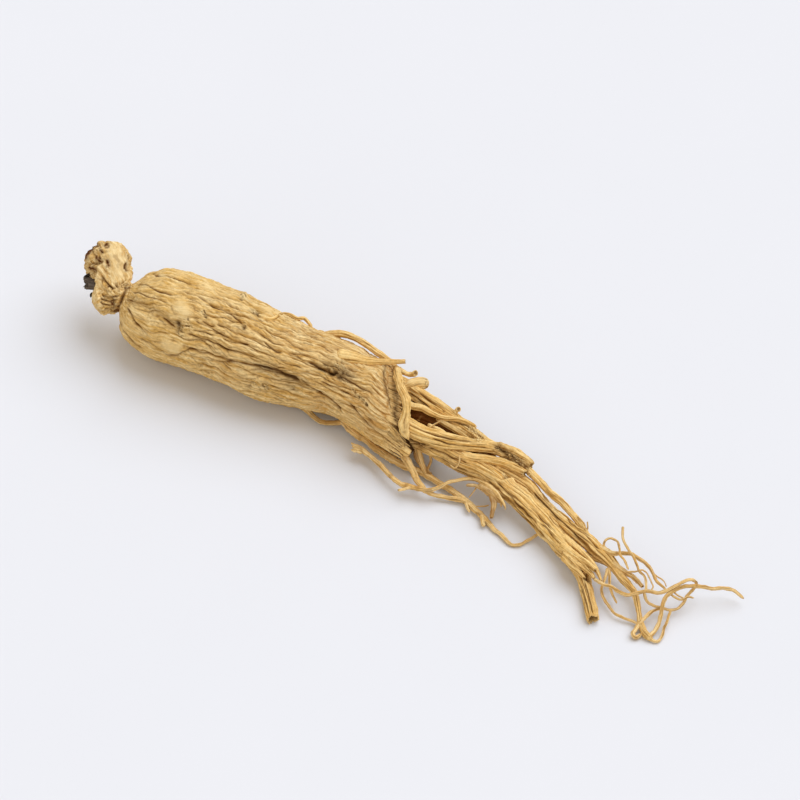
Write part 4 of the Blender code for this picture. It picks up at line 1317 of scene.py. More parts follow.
@dataclass(frozen=True)
class MainLeg(Growth):
    """The thick leg that runs on from the body to its broken, hollow tip."""

    name: str = "main_leg"
    strands: tuple[Strand, ...] = (
        Strand("main_leg", LEG_BARK, End.HOLLOW, tear=0.5, stations=(
            (-3.0, 3.0, 6.5, 3.4), (1.0, 6.0, 6.2, 3), (4.8, 8.0, 6.0, 2.4), (8.8, 10.2, 5.6, 2.2),
            (12.0, 12.2, 5.2, 2.2), (16.2, 14.0, 4.8, 2.2), (20.0, 16.6, 4.4, 2.2), (23.0, 19.0, 4.1, 2.2),
            (25.7, 21.5, 3.8, 2.3), (29.0, 25.2, 3.4, 2.2), (31.8, 28.4, 3.1, 2.1), (34.2, 31.2, 2.8, 1.9),
            (36.0, 34.0, 2.4, 1.6), (37.0, 37.6, 1.9, 1.3), (37.9, 41.0, 1.5, 1.2), (38.3, 43.6, 1.2, 1.2),
        )),
        Strand("root_fork", LOBE_SKIN, soil_and_shade=0.6, calm=True, stations=(
            (-6.0, -1.0, 6.8, 5.8), (-2.0, 1.4, 5.8, 5.0), (2.0, 4.0, 5.0, 3.8), (6.0, 6.6, 4.9, 2.8),
            (10.0, 8.8, 5.2, 2.0), (14.0, 11.0, 5.4, 1.2),
        )),
    )
    marks: tuple[Mark, ...] = (
        # The hole above its root.
        Mark(Look.PIT, 1.0, 1.3, (((2.2, 6.8), (4.0, 8.4)),)),
        Mark(Look.STAIN_AND_SHADE, 1.3, 1.2, (((2.0, 6.6), (4.4, 8.8)),)),
        # The grooves that the leg dried into.
        Mark(Look.FURROW, 0.24, 0.45, (
            ((5.0, 9.4), (8.0, 10.4), (11.0, 11.6), (14.0, 12.8)),
            ((8.0, 12.4), (11.0, 14.0), (15.0, 16.0), (19.0, 19.0)),
            ((6.0, 11.0), (10.0, 12.8), (14.0, 14.6)),
            ((17.0, 15.6), (20.0, 18.4), (23.0, 21.6), (26.0, 24.8), (29.0, 28.0)),
            ((19.0, 16.0), (22.0, 19.2), (25.0, 22.4), (27.6, 25.2)),
            ((23.6, 15.8), (26.0, 18.0), (28.0, 20.0), (30.0, 22.4), (32.0, 25.0)),
        )),
        Mark(Look.FURROW, 0.26, 0.6, (
            ((27.6, 24.2), (29.6, 26.2), (31.2, 28.2), (33.2, 30.2)),
            ((33.2, 30.2), (34.8, 31.4), (37.0, 32.4)), ((32.2, 29.4), (32.8, 30.8), (33.8, 31.8)),
        )),
        Mark(Look.FURROW, 0.18, 0.35, (
            ((25.6, 21.0), (28.0, 23.4), (30.4, 26.0)), ((29.0, 22.4), (31.2, 24.8), (33.2, 27.2)),
            ((35.6, 36.0), (36.8, 40.0), (37.6, 43.0)), ((36.6, 35.6), (37.8, 40.0), (38.4, 43.0)),
            ((30.0, 29.6), (32.4, 32.0), (34.8, 34.6)),
        )),
        # The collar that it breaks out of.
        Mark(Look.RIDGE, 0.45, 0.5, (((20.6, 16.4), (21.8, 15.8), (23.2, 15.6)),)),
        Mark(Look.PIT, 0.4, 0.5, (((21.0, 15.4), (22.6, 15.2)),)),
        Mark(Look.FRAY, 0.5, 0.2, (((21.0, 14.6), (22.6, 15.2)),)),
        # The hole under the splinters, and painted shade along the leg's shaded flank.
        Mark(Look.PIT, 0.55, 0.7, (((37.0, 35.0), (37.6, 35.8)),)),
        Mark(Look.STAIN_AND_SHADE, 1.4, 0.35, (((9.0, 11.2), (13.0, 13.6), (18.0, 16.0)),)),
    )


@dataclass(frozen=True)
class Legs(Growth):
    """The other legs, and the lobe of bark that hangs over their roots."""

    name: str = "legs"
    strands: tuple[Strand, ...] = (
        Strand("skin_lobe", LOBE_SKIN, End.ROUND, stations=(
            (-11.0, -0.4, 6.4, 3.4), (-8.6, 1.4, 5.9, 3.8), (-5.4, 3.8, 5.4, 3.8),
            (-2.4, 6.0, 5.0, 3.5), (0.0, 8.2, 4.7, 2.6), (1.0, 9.6, 4.5, 1.8),
        )),
        Strand("lobe_tip", SMOOTH_SKIN, End.BLUNT, stations=(
            (-0.6, 8.8, 6.0, 0.75), (0.4, 9.6, 6.1, 0.9), (1.3, 10.3, 6.0, 0.95),
            (2.0, 10.7, 5.7, 0.85),
        )),
        Strand("splinter_root", LEG_BARK, End.POINTED, stations=(
            (30.6, 26.8, 3.4, 1.5), (32.4, 28.8, 3.5, 1.5), (34.0, 30.4, 3.7, 1.2),
            (35.6, 32.0, 3.7, 0.9), (36.8, 33.2, 3.6, 0.6),
        )),
        Strand("shard_a", SIDE_SKIN, End.BROKEN, stations=(
            (32.4, 27.4, 4.0, 0.8), (34.6, 29.0, 4.6, 0.8), (36.6, 30.8, 4.8, 0.66),
            (38.2, 32.4, 4.7, 0.54), (39.3, 34.2, 4.3, 0.42), (40.0, 36.0, 3.8, 0.24),
        )),
        Strand("shard_b", SIDE_SKIN, End.BROKEN, tear=0.8, stations=(
            (32.0, 29.0, 4.4, 0.8), (33.8, 30.2, 5.0, 0.8), (35.8, 31.6, 5.3, 0.7),
            (37.6, 32.8, 5.2, 0.6), (38.8, 33.8, 5.0, 0.5),
        )),
        Strand("shard_c", SIDE_SKIN, End.BROKEN, tear=0.8, stations=(
            (32.6, 30.4, 4.4, 0.7), (34.4, 32.0, 4.8, 0.66), (36.2, 33.2, 4.7, 0.56),
            (37.8, 34.4, 4.4, 0.46), (38.6, 35.5, 4.1, 0.28),
        )),
        Strand("shard_d", SIDE_SKIN, End.BROKEN, tear=0.8, stations=(
            (32.4, 31.2, 4.0, 0.7), (34.0, 32.8, 4.3, 0.66), (35.4, 34.0, 4.2, 0.54),
            (36.6, 35.4, 3.8, 0.36),
        )),
        Strand("middle_leg", LEG_SKIN, End.BROKEN, stations=(
            (-1.0, 3.6, 9.2, 1.9), (2.2, 5.6, 9.4, 1.7), (4.2, 6.6, 9.2, 1.7), (7.2, 7.6, 8.8, 1.7),
            (10.2, 8.4, 8.3, 1.6), (13.2, 8.8, 7.9, 1.4), (16.4, 9.2, 7.6, 1.3), (18.8, 9.5, 7.4, 1.3),
            (20.8, 10.2, 7.2, 1.4), (23.0, 11.2, 7.0, 1.5), (24.8, 12.4, 6.8, 1.5), (26.0, 13.4, 6.6, 1.3),
        )),
        Strand("upper_leg", LEG_SKIN, stations=(
            (-1.6, -4.0, 10.8, 1.6), (1.0, -2.8, 10.6, 1.6), (3.4, -1.1, 10.1, 1.6), (6.0, 0.7, 9.5, 1.7),
            (8.6, 2.4, 8.9, 1.6), (11.4, 4.4, 8.2, 1.5), (14.2, 6.6, 7.6, 1.4), (16.8, 8.5, 7.1, 1.3),
            (19.0, 9.8, 6.8, 1.1),
        )),
        # Stained dark all over: partly painted shade, deep in the hollow under the legs.
        Strand("inner_leg", LEG_SKIN, soil_and_shade=1.5, stations=(
            (1.0, 2.0, 7.4, 2.2), (4.6, 3.4, 7.4, 2.1), (8.2, 5.2, 7.2, 1.9), (11.6, 7.2, 6.9, 1.7),
            (14.8, 9.2, 6.4, 1.5), (18.0, 11.2, 5.8, 1.1),
        )),
        Strand("second_leg", LEG_SKIN, stations=(
            (19.0, 13.0, 5.6, 1.2), (23.0, 15.2, 5.0, 1.2), (26.0, 17.4, 4.7, 1.2), (27.6, 19.4, 4.5, 1.15),
            (29.8, 21.6, 4.3, 1.1), (32.0, 23.8, 4.2, 1.2), (34.8, 26.2, 4.0, 1.4), (37.2, 28.2, 3.9, 1.5),
            (39.4, 30.0, 3.7, 1.5), (41.4, 31.8, 3.5, 1.3), (42.8, 33.4, 3.3, 0.95), (44.0, 35.2, 3.1, 0.85),
            (45.4, 36.8, 2.9, 0.8), (46.6, 38.4, 2.6, 0.7), (47.1, 40.4, 2.2, 0.6), (47.5, 42.6, 1.7, 0.6),
            (47.8, 44.4, 1.3, 0.65), (48.6, 46.2, 0.9, 0.7), (49.8, 47.4, 0.6, 0.6),
        )),
    )
    marks: tuple[Mark, ...] = (
        # The open scar of the middle leg, and its rim.
        Mark(Look.PIT, 0.9, 0.9, (((19.8, 9.8), (20.8, 10.4), (22.0, 11.4)),)),
        Mark(Look.FRAY, 0.7, 0.4, (((19.8, 9.6), (20.8, 10.4), (22.2, 11.4), (24.0, 12.6)),)),
        Mark(Look.STAIN_AND_SHADE, 0.9, 0.9, (((19.4, 9.4), (22.4, 11.8), (25.0, 13.2)),)),
        Mark(Look.RIDGE, 0.35, 0.4, (((20.0, 8.8), (22.4, 9.8), (24.4, 11.2), (26.0, 12.6)),)),
        # The grooves that the legs dried into.
        Mark(Look.FURROW, 0.2, 0.45, (
            ((6.0, 7.4), (10.0, 9.0), (14.0, 9.4), (18.0, 9.6)),
            ((4.0, 6.2), (8.0, 7.2), (12.0, 8.0), (16.0, 8.4)), ((3.0, -2.0), (5.6, -0.2), (8.0, 1.4)),
            ((28.0, 18.4), (32.0, 22.0), (36.0, 26.0), (40.0, 30.0)),
            ((-4.0, 6.4), (-1.6, 8.0), (0.8, 10.0)), ((-5.0, 8.0), (-2.4, 9.4), (0.0, 11.0)),
        )),
        Mark(Look.FURROW, 0.28, 0.7, (
            ((1.2, -1.8), (3.6, 0.0), (6.2, 1.8)), ((12.0, 4.0), (15.0, 6.0), (17.0, 8.0)),
            ((10.0, 4.4), (13.0, 6.4), (15.4, 8.2)), ((8.0, 3.6), (10.4, 4.2), (13.6, 4.8)),
            ((26.0, 18.0), (29.0, 21.0), (32.0, 24.0), (35.0, 27.0), (38.0, 30.0)),
        )),
        # Shade and earth between them.
        Mark(Look.STAIN_AND_SHADE, 0.6, 0.3, (((25.0, 17.2), (29.0, 20.2), (32.0, 23.0)),)),
        # Torn fibres.
        Mark(Look.FRAY, 0.7, 0.35, (((14.4, 5.6), (16.0, 7.6)),)),
        Mark(Look.FRAY, 0.9, 0.4, (((-2.8, 5.2), (-0.8, 6.8), (1.2, 8.6)),)),
        Mark(Look.PIT, 0.28, 0.35, (((8.6, 2.3),), ((1.6, -2.6),),)),
    )
    brushes: tuple[Brush, ...] = (
        # The splinters that the main leg broke into.
        Brush(
            "sliver", 5, 0.24, ((33.6, 29.0, 5.1), (33.0, 31.4, 4.9)),
            ((39.4, 34.2, 4.7), (37.4, 35.8, 4.2)),
            bow=0.5, ragged=0.5, soil_and_shade=0.8,
        ),
    )


@dataclass(frozen=True)
class SideRoots(Growth):
    """The side roots, stubs and straps round the body's torn end."""

    name: str = "side_roots"
    strands: tuple[Strand, ...] = (
        Strand("spike_root", SIDE_SKIN, End.BROKEN, stations=(
            (-12.6, -8.9, 14.4, 1.6), (-9.4, -8.4, 15.0, 1.2), (-6.4, -7.7, 14.9, 0.9),
            (-3.3, -7.6, 14.7, 0.65), (1.0, -7.7, 14.5, 0.45),
        )),
        Strand("arch_root", SIDE_SKIN, stations=(
            (-16.0, -12.6, 10.4, 0.8), (-13.8, -13.1, 12.2, 0.86), (-11.4, -13.2, 13.4, 0.76),
            (-9.6, -12.65, 13.8, 0.7), (-7.6, -11.65, 13.8, 0.68), (-6.0, -10.55, 13.6, 0.66),
            (-4.6, -9.5, 13.3, 0.66), (-3.2, -8.6, 12.9, 0.64), (-0.8, -6.6, 12.2, 0.5),
        )),
        Strand("cross_root", SMOOTH_SKIN, stations=(
            (-0.7, -6.6, 13.0, 0.6), (-0.5, -5.2, 14.0, 0.84), (-0.2, -3.8, 14.7, 0.9),
            (0.2, -2.4, 15.0, 0.88), (0.9, -1.0, 14.9, 0.9), (1.3, 0.4, 14.3, 0.9), (1.3, 2.0, 13.4, 0.88),
            (1.1, 3.4, 12.5, 0.94), (0.8, 4.8, 11.6, 1.1), (0.9, 6.0, 10.6, 1), (1.3, 7.0, 9.7, 0.68),
            (1.6, 7.6, 9.2, 0.32),
        )),
        Strand("upper_stub", SMOOTH_SKIN, End.BROKEN, tear=0.1, stations=(
            (-0.6, -6.2, 12.2, 0.6), (1.0, -5.4, 12.0, 0.54), (2.0, -5.1, 11.9, 0.52),
            (2.7, -5.2, 12.3, 0.52), (3.1, -5.4, 13.0, 0.54),
        )),
        Strand("frayed_stub", SIDE_SKIN, End.ROUND, stations=(
            (0.4, -2.4, 11.2, 0.8), (1.8, -2.9, 11.3, 1.1), (3.2, -3.3, 11.2, 1.2),
            (4.6, -3.2, 10.9, 1.3), (5.6, -2.8, 10.6, 1.1),
        )),
        Strand("strap_root", SIDE_SKIN, stations=(
            (0.6, 0.4, 10.0, 0.8), (2.4, 1.2, 10.4, 0.74), (4.4, 1.6, 10.2, 0.7), (6.2, 2.6, 9.9, 0.62),
            (8.8, 3.55, 9.7, 0.54), (11.2, 3.75, 9.8, 0.52), (13.4, 4.4, 9.3, 0.46), (14.9, 5.2, 8.5, 0.36),
        )),
        Strand("hollow_strand", SIDE_SKIN, soil_and_shade=0.4, stations=(
            (6.8, 3.7, 8.3, 0.5), (8.3, 4.4, 8.9, 0.56), (9.6, 5.1, 9.0, 0.58), (11.0, 6.0, 8.8, 0.58),
            (12.4, 6.9, 8.5, 0.54), (13.8, 7.9, 8.1, 0.44),
        )),
        Strand("hollow_edge", SIDE_SKIN, stations=(
            (5.6, 4.9, 9.2, 0.34), (6.6, 5.4, 9.4, 0.44), (7.8, 6.0, 9.3, 0.46), (9.2, 6.9, 9.0, 0.44),
            (10.6, 7.6, 8.7, 0.34),
        )),
        Strand("ring_stub", SMOOTH_SKIN, End.BROKEN, tear=0.1, stations=(
            (11.0, 3.6, 9.0, 0.46), (11.1, 2.6, 9.6, 0.44), (11.4, 2.0, 10.1, 0.44), (11.7, 1.8, 10.8, 0.46),
        )),
        Strand("ribbed_strip", SIDE_SKIN, stations=(
            (6.8, 3.2, 8.4, 1.0), (9.6, 4.6, 8.0, 1.2), (12.0, 5.8, 7.6, 1.2), (14.0, 7.0, 7.2, 1.1),
            (16.2, 8.4, 6.9, 0.9),
        )),
        Strand("lower_strap", SIDE_SKIN, End.BROKEN, stations=(
            (12.0, 11.0, 6.2, 1.0), (14.6, 11.5, 6.9, 0.9), (17.6, 11.8, 7.1, 0.85), (20.8, 12.6, 6.9, 0.85),
            (23.0, 13.5, 6.7, 0.85), (25.0, 14.6, 6.4, 0.8),
        )),
        Strand("side_leg", SIDE_SKIN, stations=(
            (24.8, 13.2, 6.4, 0.8), (26.4, 14.8, 6.0, 0.8), (28.0, 16.4, 5.8, 0.75), (30.0, 18.6, 5.5, 0.75),
            (32.2, 20.4, 5.2, 0.75), (33.8, 22.2, 5.0, 0.7), (35.2, 23.8, 4.7, 0.7), (37.2, 26.6, 4.2, 0.6),
        )),
        Strand("underside_root", SIDE_SKIN, soil_and_shade=0.4, stations=(
            (-20.0, 1.2, 2.4, 0.51), (-18.4, 2.3, 1.9, 0.51), (-17.0, 3.6, 1.7, 0.51),
            (-15.6, 4.4, 1.6, 0.51), (-13.4, 4.6, 1.8, 0.51), (-11.0, 4.4, 2.2, 0.51),
        )),
        Strand("shoulder_root", SIDE_SKIN, stations=(
            (-28.2, -17.0, 16.2, 0.5), (-25.8, -16.1, 17.0, 0.48), (-23.7, -17.1, 14.9, 0.42),
            (-22.2, -17.1, 14.5, 0.4), (-20.6, -16.3, 14.3, 0.4), (-19.1, -16.3, 13.9, 0.38),
            (-17.8, -14.8, 13.2, 0.35),
        )),
    )
    marks: tuple[Mark, ...] = (
        # The hollow of the frayed stub, and the knobs of the cross root.
        Mark(Look.SCAR, 0.7, 0.1, (((2.0, -3.8), (5.2, -3.8)),)),
        Mark(Look.PIT, 0.3, 0.35, (((5.4, -2.4),),)),
        Mark(Look.FRAY, 0.55, 0.22, (((5.4, -3.6), (6.2, -3.2)), ((4.8, -2.0), (5.6, -1.8)))),
        Mark(Look.RIDGE, 0.4, 0.35, (((0.2, 4.6), (0.6, 6.0)),)),
        Mark(Look.STAIN_AND_SHADE, 0.5, 0.4, (((0.8, 4.2), (1.0, 6.2)),)),
        Mark(Look.STAIN_AND_SHADE, 0.6, 0.3, (((0.0, -5.6),),)),
        Mark(Look.FRAY, 0.5, 0.3, (((24.6, 14.8), (25.4, 15.2)),)),
    )


@dataclass(frozen=True)
class Rootlets(Growth):
    """The trailing rootlets and the tangle of loops at the tail."""

    name: str = "rootlets"
    strands: tuple[Strand, ...] = (
        Strand("trailing_rootlet", FINE_SKIN, warm=(0.2, 0.2), stations=(
            (-11.6, 4.0, 2.6, 0.64), (-10.2, 5.6, 2.2, 0.7), (-8.6, 7.0, 2.0, 0.74), (-6.4, 8.1, 1.9, 0.77),
            (-5.0, 9.5, 1.7, 0.77), (-2.2, 11.4, 1.5, 0.77), (0.4, 12.9, 1.4, 0.74), (2.3, 13.8, 1.4, 0.7),
            (4.6, 14.6, 1.4, 0.7), (6.9, 16.0, 1.3, 0.66), (8.8, 17.2, 1.2, 0.66), (11.4, 18.9, 1.1, 0.66),
            (13.4, 20.3, 1.1, 0.66), (15.2, 22.0, 1.0, 0.63), (16.8, 23.6, 0.9, 0.59),
            (18.7, 25.6, 0.7, 0.48), (20.2, 27.0, 0.6, 0.42), (21.4, 28.2, 0.5, 0.39),
            (22.5, 28.9, 0.5, 0.37), (24.0, 28.8, 0.6, 0.33), (25.6, 27.9, 0.8, 0.31),
            (27.6, 26.7, 1.4, 0.29),
        )),
        Strand("rootlet_knob", FINE_SKIN, End.ROUND, warm=(0.2, 0.2), stations=(
            (16.2, 23.0, 1.2, 0.52), (16.5, 24.2, 1.1, 0.48), (16.7, 25.2, 0.9, 0.44),
        )),
        Strand("rootlet_spur", FINE_SKIN, warm=(0.2, 0.2), stations=(
            (13.2, 20.4, 1.4, 0.36), (13.4, 21.4, 1.2, 0.32), (13.8, 22.2, 1.0, 0.24),
        )),
        Strand("frayed_rootlet", FINE_SKIN, warm=(0.2, 0.2), stations=(
            (-8.8, 9.3, 3.2, 0.5), (-7.6, 9.9, 3.1, 0.58), (-6.4, 10.8, 3.0, 0.5), (-4.8, 12.2, 2.8, 0.52),
            (-3.2, 13.8, 2.7, 0.54), (-1.7, 15.2, 2.6, 0.5), (0.0, 16.6, 2.5, 0.54), (1.7, 17.2, 2.5, 0.56),
            (3.2, 17.6, 2.6, 0.52), (5.0, 18.0, 2.8, 0.46), (6.6, 17.8, 3.0, 0.44), (8.2, 17.2, 3.2, 0.4),
            (9.8, 16.4, 3.4, 0.36), (12.1, 15.9, 3.6, 0.36), (14.2, 15.7, 4.0, 0.4),
            (16.0, 16.2, 4.5, 0.44), (17.8, 17.2, 4.9, 0.46), (19.2, 18.5, 5.0, 0.44),
            (20.3, 20.0, 4.8, 0.34), (21.0, 21.4, 4.4, 0.18),
        )),
        Strand("fray_spur", FINE_SKIN, End.BROKEN, stations=(
            (2.2, 17.4, 2.7, 0.28), (0.8, 17.8, 2.9, 0.3), (-0.4, 18.0, 3.1, 0.26),
        )),
        Strand("torn_piece", SIDE_SKIN, End.POINTED, soil_and_shade=0.45, stations=(
            (15.6, 16.9, 4.0, 0.5), (17.4, 18.0, 4.2, 0.8), (18.8, 19.0, 4.3, 0.8),
            (20.0, 20.2, 4.1, 0.45),
        )),
        Strand("torn_band", FINE_SKIN, End.BROKEN, soil_and_shade=0.5, stations=(
            (13.2, 17.0, 3.7, 0.26), (14.8, 17.0, 3.9, 0.36), (16.4, 17.7, 4.0, 0.42),
            (18.0, 18.7, 4.1, 0.42), (19.6, 19.8, 4.0, 0.36), (20.4, 20.8, 3.8, 0.22),
        )),
        Strand("torn_prong_a", FINE_SKIN, End.BROKEN, soil_and_shade=0.65, stations=(
            (18.1, 18.6, 4.3, 0.6), (18.5, 20.2, 3.8, 0.5), (18.5, 21.8, 3.2, 0.42),
            (18.2, 23.5, 2.6, 0.38),
        )),
        Strand("torn_prong_b", FINE_SKIN, End.POINTED, soil_and_shade=0.5, stations=(
            (18.8, 19.0, 4.2, 0.5), (19.0, 20.6, 3.8, 0.38), (18.8, 22.0, 3.4, 0.2),
        )),
        Strand("torn_prong_c", FINE_SKIN, End.POINTED, soil_and_shade=0.2, stations=(
            (19.5, 19.2, 4.4, 0.36), (20.0, 20.2, 4.1, 0.28), (20.2, 21.2, 3.8, 0.14),
        )),
        Strand("torn_prong_d", FINE_SKIN, End.POINTED, stations=(
            (20.2, 19.6, 4.5, 0.3), (20.8, 20.8, 4.2, 0.26), (21.0, 21.8, 3.9, 0.12),
        )),
        Strand("lobe_rootlet", FINE_SKIN, warm=(0.2, 0.2), stations=(
            (0.6, 10.8, 4.4, 0.81), (2.3, 13.6, 3.6, 0.72), (3.2, 15.6, 3.0, 0.68), (4.9, 18.0, 2.6, 0.54),
        )),
        Strand("low_rootlet", FINE_SKIN, warm=(0.2, 0.2), stations=(
            (4.6, 18.0, 2.4, 0.45), (6.8, 18.9, 1.5, 0.45), (9.0, 19.4, 1.2, 0.5), (12.4, 20.0, 1.1, 0.54),
        )),
        Strand("shaded_rootlet", FINE_SKIN, stations=(
            (3.4, 9.0, 5.2, 0.75), (4.2, 12.4, 3.0, 0.65), (5.2, 14.8, 1.6, 0.55),
        )),
        Strand("thin_leg", FINE_SKIN, stations=(
            (30.4, 24.4, 3.8, 0.47), (33.0, 27.0, 3.2, 0.47), (34.8, 28.8, 3.0, 0.47),
            (37.0, 30.6, 2.9, 0.47), (39.4, 31.9, 2.9, 0.47), (41.4, 32.6, 3.1, 0.42),
        )),
        Strand("leg_branch", FINE_SKIN, End.BROKEN, stations=(
            (41.8, 32.2, 3.7, 0.68), (43.8, 33.6, 3.9, 0.55), (45.4, 34.7, 3.8, 0.51),
            (47.0, 35.8, 3.6, 0.47), (48.2, 37.1, 3.4, 0.38),
        )),
        Strand("tip_rootlet", FINE_SKIN, stations=(
            (49.4, 47.0, 0.7, 0.47), (51.0, 45.4, 1.2, 0.42), (51.8, 43.0, 2.4, 0.42),
            (52.1, 41.2, 3.4, 0.42), (52.6, 39.6, 4.2, 0.42), (53.5, 38.4, 4.8, 0.42),
            (55.0, 37.5, 5.0, 0.42), (56.8, 37.0, 5.0, 0.42), (58.8, 37.0, 4.7, 0.42),
            (60.4, 37.2, 4.4, 0.41), (62.2, 37.5, 4.0, 0.38), (64.5, 37.4, 3.6, 0.38),
            (66.4, 37.9, 3.0, 0.36), (68.0, 39.2, 2.2, 0.34),
        )),
        Strand("wave_rootlet", FINE_SKIN, stations=(
            (38.6, 35.6, 3.8, 0.34), (40.4, 36.6, 4.2, 0.34), (42.2, 37.2, 4.4, 0.36),
            (43.6, 38.2, 4.5, 0.38), (45.2, 38.8, 4.6, 0.38), (47.0, 38.4, 4.7, 0.38),
            (49.0, 38.0, 4.6, 0.38), (51.2, 38.3, 4.7, 0.38), (53.0, 37.8, 5.3, 0.38),
            (54.8, 36.9, 6.0, 0.34), (56.4, 36.0, 6.4, 0.34), (58.0, 35.7, 5.9, 0.32),
            (58.9, 36.3, 4.4, 0.32), (58.7, 37.1, 3.4, 0.32), (57.8, 38.1, 3.0, 0.34),
            (57.0, 39.0, 2.6, 0.32), (56.4, 40.2, 2.2, 0.31), (55.2, 41.4, 1.8, 0.3),
            (53.8, 41.7, 1.8, 0.3), (52.2, 41.4, 2.0, 0.3), (50.0, 40.7, 2.4, 0.3), (49.0, 39.8, 3.0, 0.3),
            (48.5, 38.4, 4.2, 0.3),
        )),
        Strand("outer_loop", FINE_SKIN, stations=(
            (49.4, 47.4, 0.6, 0.34), (51.0, 47.9, 0.5, 0.3), (51.9, 47.0, 0.7, 0.3),
            (52.5, 45.2, 1.1, 0.3), (53.2, 43.4, 1.5, 0.28), (53.8, 41.7, 1.8, 0.27),
        )),
        Strand("left_loop", FINE_SKIN, stations=(
            (41.3, 33.4, 3.2, 0.31), (40.6, 36.0, 2.6, 0.3), (40.1, 37.6, 2.2, 0.3),
            (40.4, 39.2, 1.8, 0.3), (41.4, 40.8, 1.5, 0.3), (42.6, 42.4, 1.2, 0.3),
            (44.2, 43.2, 1.0, 0.3), (45.8, 43.8, 0.9, 0.3), (47.6, 44.6, 1.1, 0.3),
        )),
        Strand("hanging_rootlet", FINE_SKIN, stations=(
            (41.6, 32.4, 3.2, 0.36), (41.7, 34.6, 3.0, 0.32), (41.7, 36.6, 2.6, 0.29),
            (42.0, 38.2, 2.2, 0.26), (43.0, 40.2, 1.6, 0.22),
        )),
        Strand("far_arc", FINE_SKIN, stations=(
            (39.8, 29.2, 4.6, 0.66), (41.8, 30.3, 5.0, 0.51), (43.6, 30.6, 5.4, 0.45),
            (45.8, 30.6, 5.8, 0.41), (46.8, 31.1, 5.8, 0.41), (48.8, 32.4, 5.4, 0.39),
            (50.1, 34.1, 4.8, 0.34), (51.0, 36.0, 4.2, 0.3), (52.6, 37.4, 3.8, 0.26),
        )),
        Strand("far_loop", FINE_SKIN, stations=(
            (40.4, 29.6, 4.6, 0.27), (40.8, 28.1, 6.2, 0.24), (42.0, 27.5, 6.9, 0.24),
            (43.2, 28.1, 7.2, 0.24), (43.6, 29.4, 7.1, 0.24), (43.8, 30.7, 6.6, 0.24),
            (44.7, 32.0, 6.2, 0.24), (45.3, 33.5, 5.6, 0.22),
        )),
        Strand("raised_rootlet", FINE_SKIN, End.BROKEN, stations=(
            (48.8, 38.2, 4.5, 0.27), (48.9, 36.7, 4.9, 0.26), (48.7, 35.2, 5.2, 0.26),
            (47.5, 33.8, 5.6, 0.26), (46.7, 31.8, 6.4, 0.26), (46.0, 30.6, 7.0, 0.26),
            (45.0, 29.0, 7.8, 0.26), (44.3, 27.4, 8.6, 0.27), (44.3, 25.2, 10.0, 0.27),
        )),
        Strand("bridge_rootlet", FINE_SKIN, stations=(
            (47.2, 44.8, 1.3, 0.34), (48.6, 43.3, 1.9, 0.34), (49.8, 42.2, 2.0, 0.32),
            (51.0, 41.6, 2.1, 0.29), (52.4, 41.4, 2.1, 0.27),
        )),
        Strand("curled_end", FINE_SKIN, stations=(
            (47.8, 44.0, 1.5, 0.45), (46.8, 45.4, 1.2, 0.45), (46.2, 46.4, 0.9, 0.45),
            (46.8, 47.2, 0.6, 0.43), (47.7, 46.6, 0.8, 0.38),
        )),
    )
    brushes: tuple[Brush, ...] = (
        # The frayed start of the second rootlet.
        Brush(
            "frayed_start", 5, 0.36, ((-7.2, 9.6, 3.3), (-7.6, 10.6, 3.0)),
            ((-9.9, 8.5, 3.6), (-9.7, 10.2, 3.2)),
            bow=0.2, ragged=0.3, soil_and_shade=0.2,
        ),
    )


